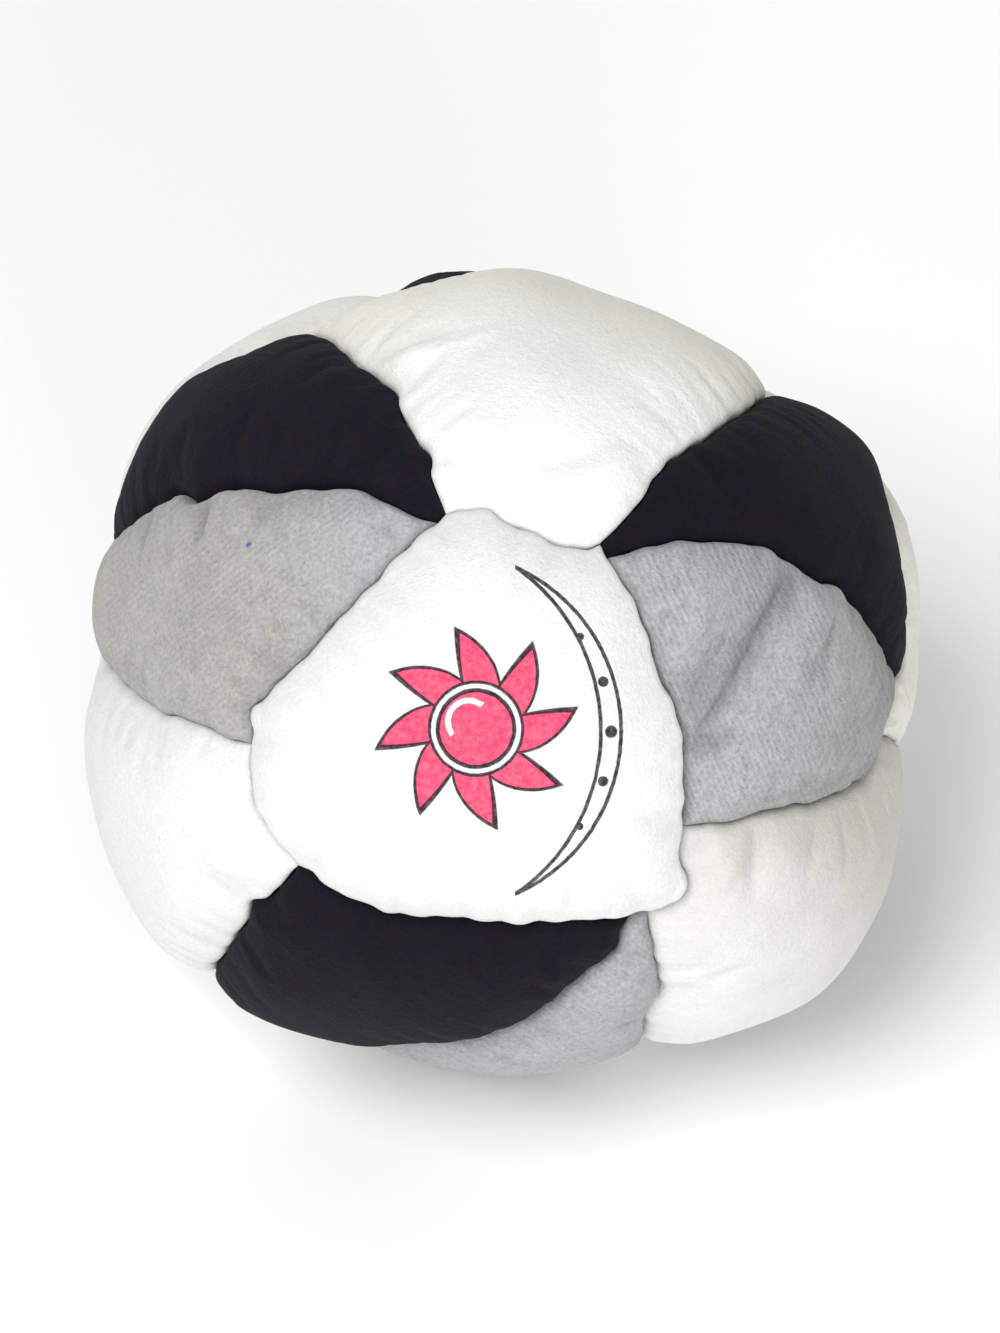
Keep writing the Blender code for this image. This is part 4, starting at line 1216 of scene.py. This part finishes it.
bm = bmesh.new()
bmesh.ops.create_icosphere(bm, subdivisions=6, radius=1.0)
directions = unit(np.array([v.co[:] for v in bm.verts]))
golden = math.pi * (3 - math.sqrt(5))
count = 620
k = np.arange(count) + 0.5
beads = np.stack([np.cos(golden * k) * np.sqrt(1 - (1 - 2 * k / count) ** 2),
                  np.sin(golden * k) * np.sqrt(1 - (1 - 2 * k / count) ** 2), 1 - 2 * k / count], 1)
beads = unit(beads + rng.normal(0, 0.012, beads.shape))
sunk = rng.uniform(0, 0.5, count)
lump = np.empty(len(directions))
for i in range(0, len(directions), 2000):
    gap = np.arccos(np.clip(directions[i:i + 2000] @ beads.T, -1, 1)) * FACING_RADIUS
    lump[i:i + 2000] = (np.sqrt(np.maximum(1.9 ** 2 - gap ** 2, 0.0)) - 1.9 - sunk).max(1)
lump = np.maximum(lump, -1.5)
places = to_world(directions * (seam_radius(directions) - FILL_DEPTH + lump)[:, None], FILL_DEPTH) * MM
for v, p in zip(bm.verts, places):
    v.co = p
if bm.calc_volume(signed=True) < 0:
    bmesh.ops.reverse_faces(bm, faces=bm.faces)
mesh = bpy.data.meshes.new("pellet_fill_beads")
bm.to_mesh(mesh)
bm.free()
mesh.shade_smooth()
fill = bpy.data.objects.new("pellet_fill_beads", mesh)
bpy.context.scene.collection.objects.link(fill)
fill.data.materials.append(pellets())
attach(fill, "root")
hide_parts("pellet_fill")

# ---- pale floor, soft light, and the photograph's camera ----
bpy.ops.mesh.primitive_plane_add(size=6.0, location=(0, 0, -0.00002))
floor = bpy.context.object
floor.name = "floor"
paper = Graph("pale_paper")
paper.put(paper.shader.inputs["Base Color"], paper.mix(paper.noise(40.0, 2.0), (0.95, 0.95, 0.95), (0.96, 0.96, 0.96)))
paper.shader.inputs["Roughness"].default_value = 0.9
floor.data.materials.append(paper.material)

world = bpy.context.scene.world or bpy.data.worlds.new("studio")
bpy.context.scene.world = world
world.use_nodes = True
background = world.node_tree.nodes.get("Background") or world.node_tree.nodes.new("ShaderNodeBackground")
background.inputs["Color"].default_value = (1.0, 1.0, 1.0, 1.0)
background.inputs["Strength"].default_value = 0.54
bpy.context.scene.view_settings.view_transform = "Standard"

middle = Vector(MIDDLE * MM)


def lamp(name, place, size, power, colour=(1.0, 1.0, 1.0)):
    data = bpy.data.lights.new(name, "AREA")
    data.shape = "DISK"
    data.size = size
    data.energy = power
    data.color = colour
    o = bpy.data.objects.new(name, data)
    o.location = middle + Vector(place)
    o.rotation_mode = "QUATERNION"
    o.rotation_quaternion = (-Vector(place)).to_track_quat("-Z", "Y")
    bpy.context.scene.collection.objects.link(o)
    return o


lamp("key", (-0.36, -0.44, 0.88), 0.58, 6.8)
lamp("fill", (0.26, -0.93, 0.24), 0.46, 3.5)

camera_data = bpy.data.cameras.new("photo_camera")
camera_data.sensor_fit = "AUTO"
camera_data.sensor_width = 36.0
camera_data.lens = 36.0 * PX / FRAME_PX[1]
camera_data.clip_start, camera_data.clip_end = 0.01, 20.0
camera = bpy.data.objects.new("photo_camera", camera_data)
bpy.context.scene.collection.objects.link(camera)
back, up, right = Vector(OUT), Vector(UP), Vector(RIGHT)
lifted = (CENTRE_PX[1] - FRAME_PX[1] / 2) * DISTANCE / PX * MM
camera.matrix_world = Matrix.Translation(middle + back * DISTANCE * MM + up * lifted) @ \
    Matrix((right, up, back)).transposed().to_4x4()
bpy.context.scene.camera = camera
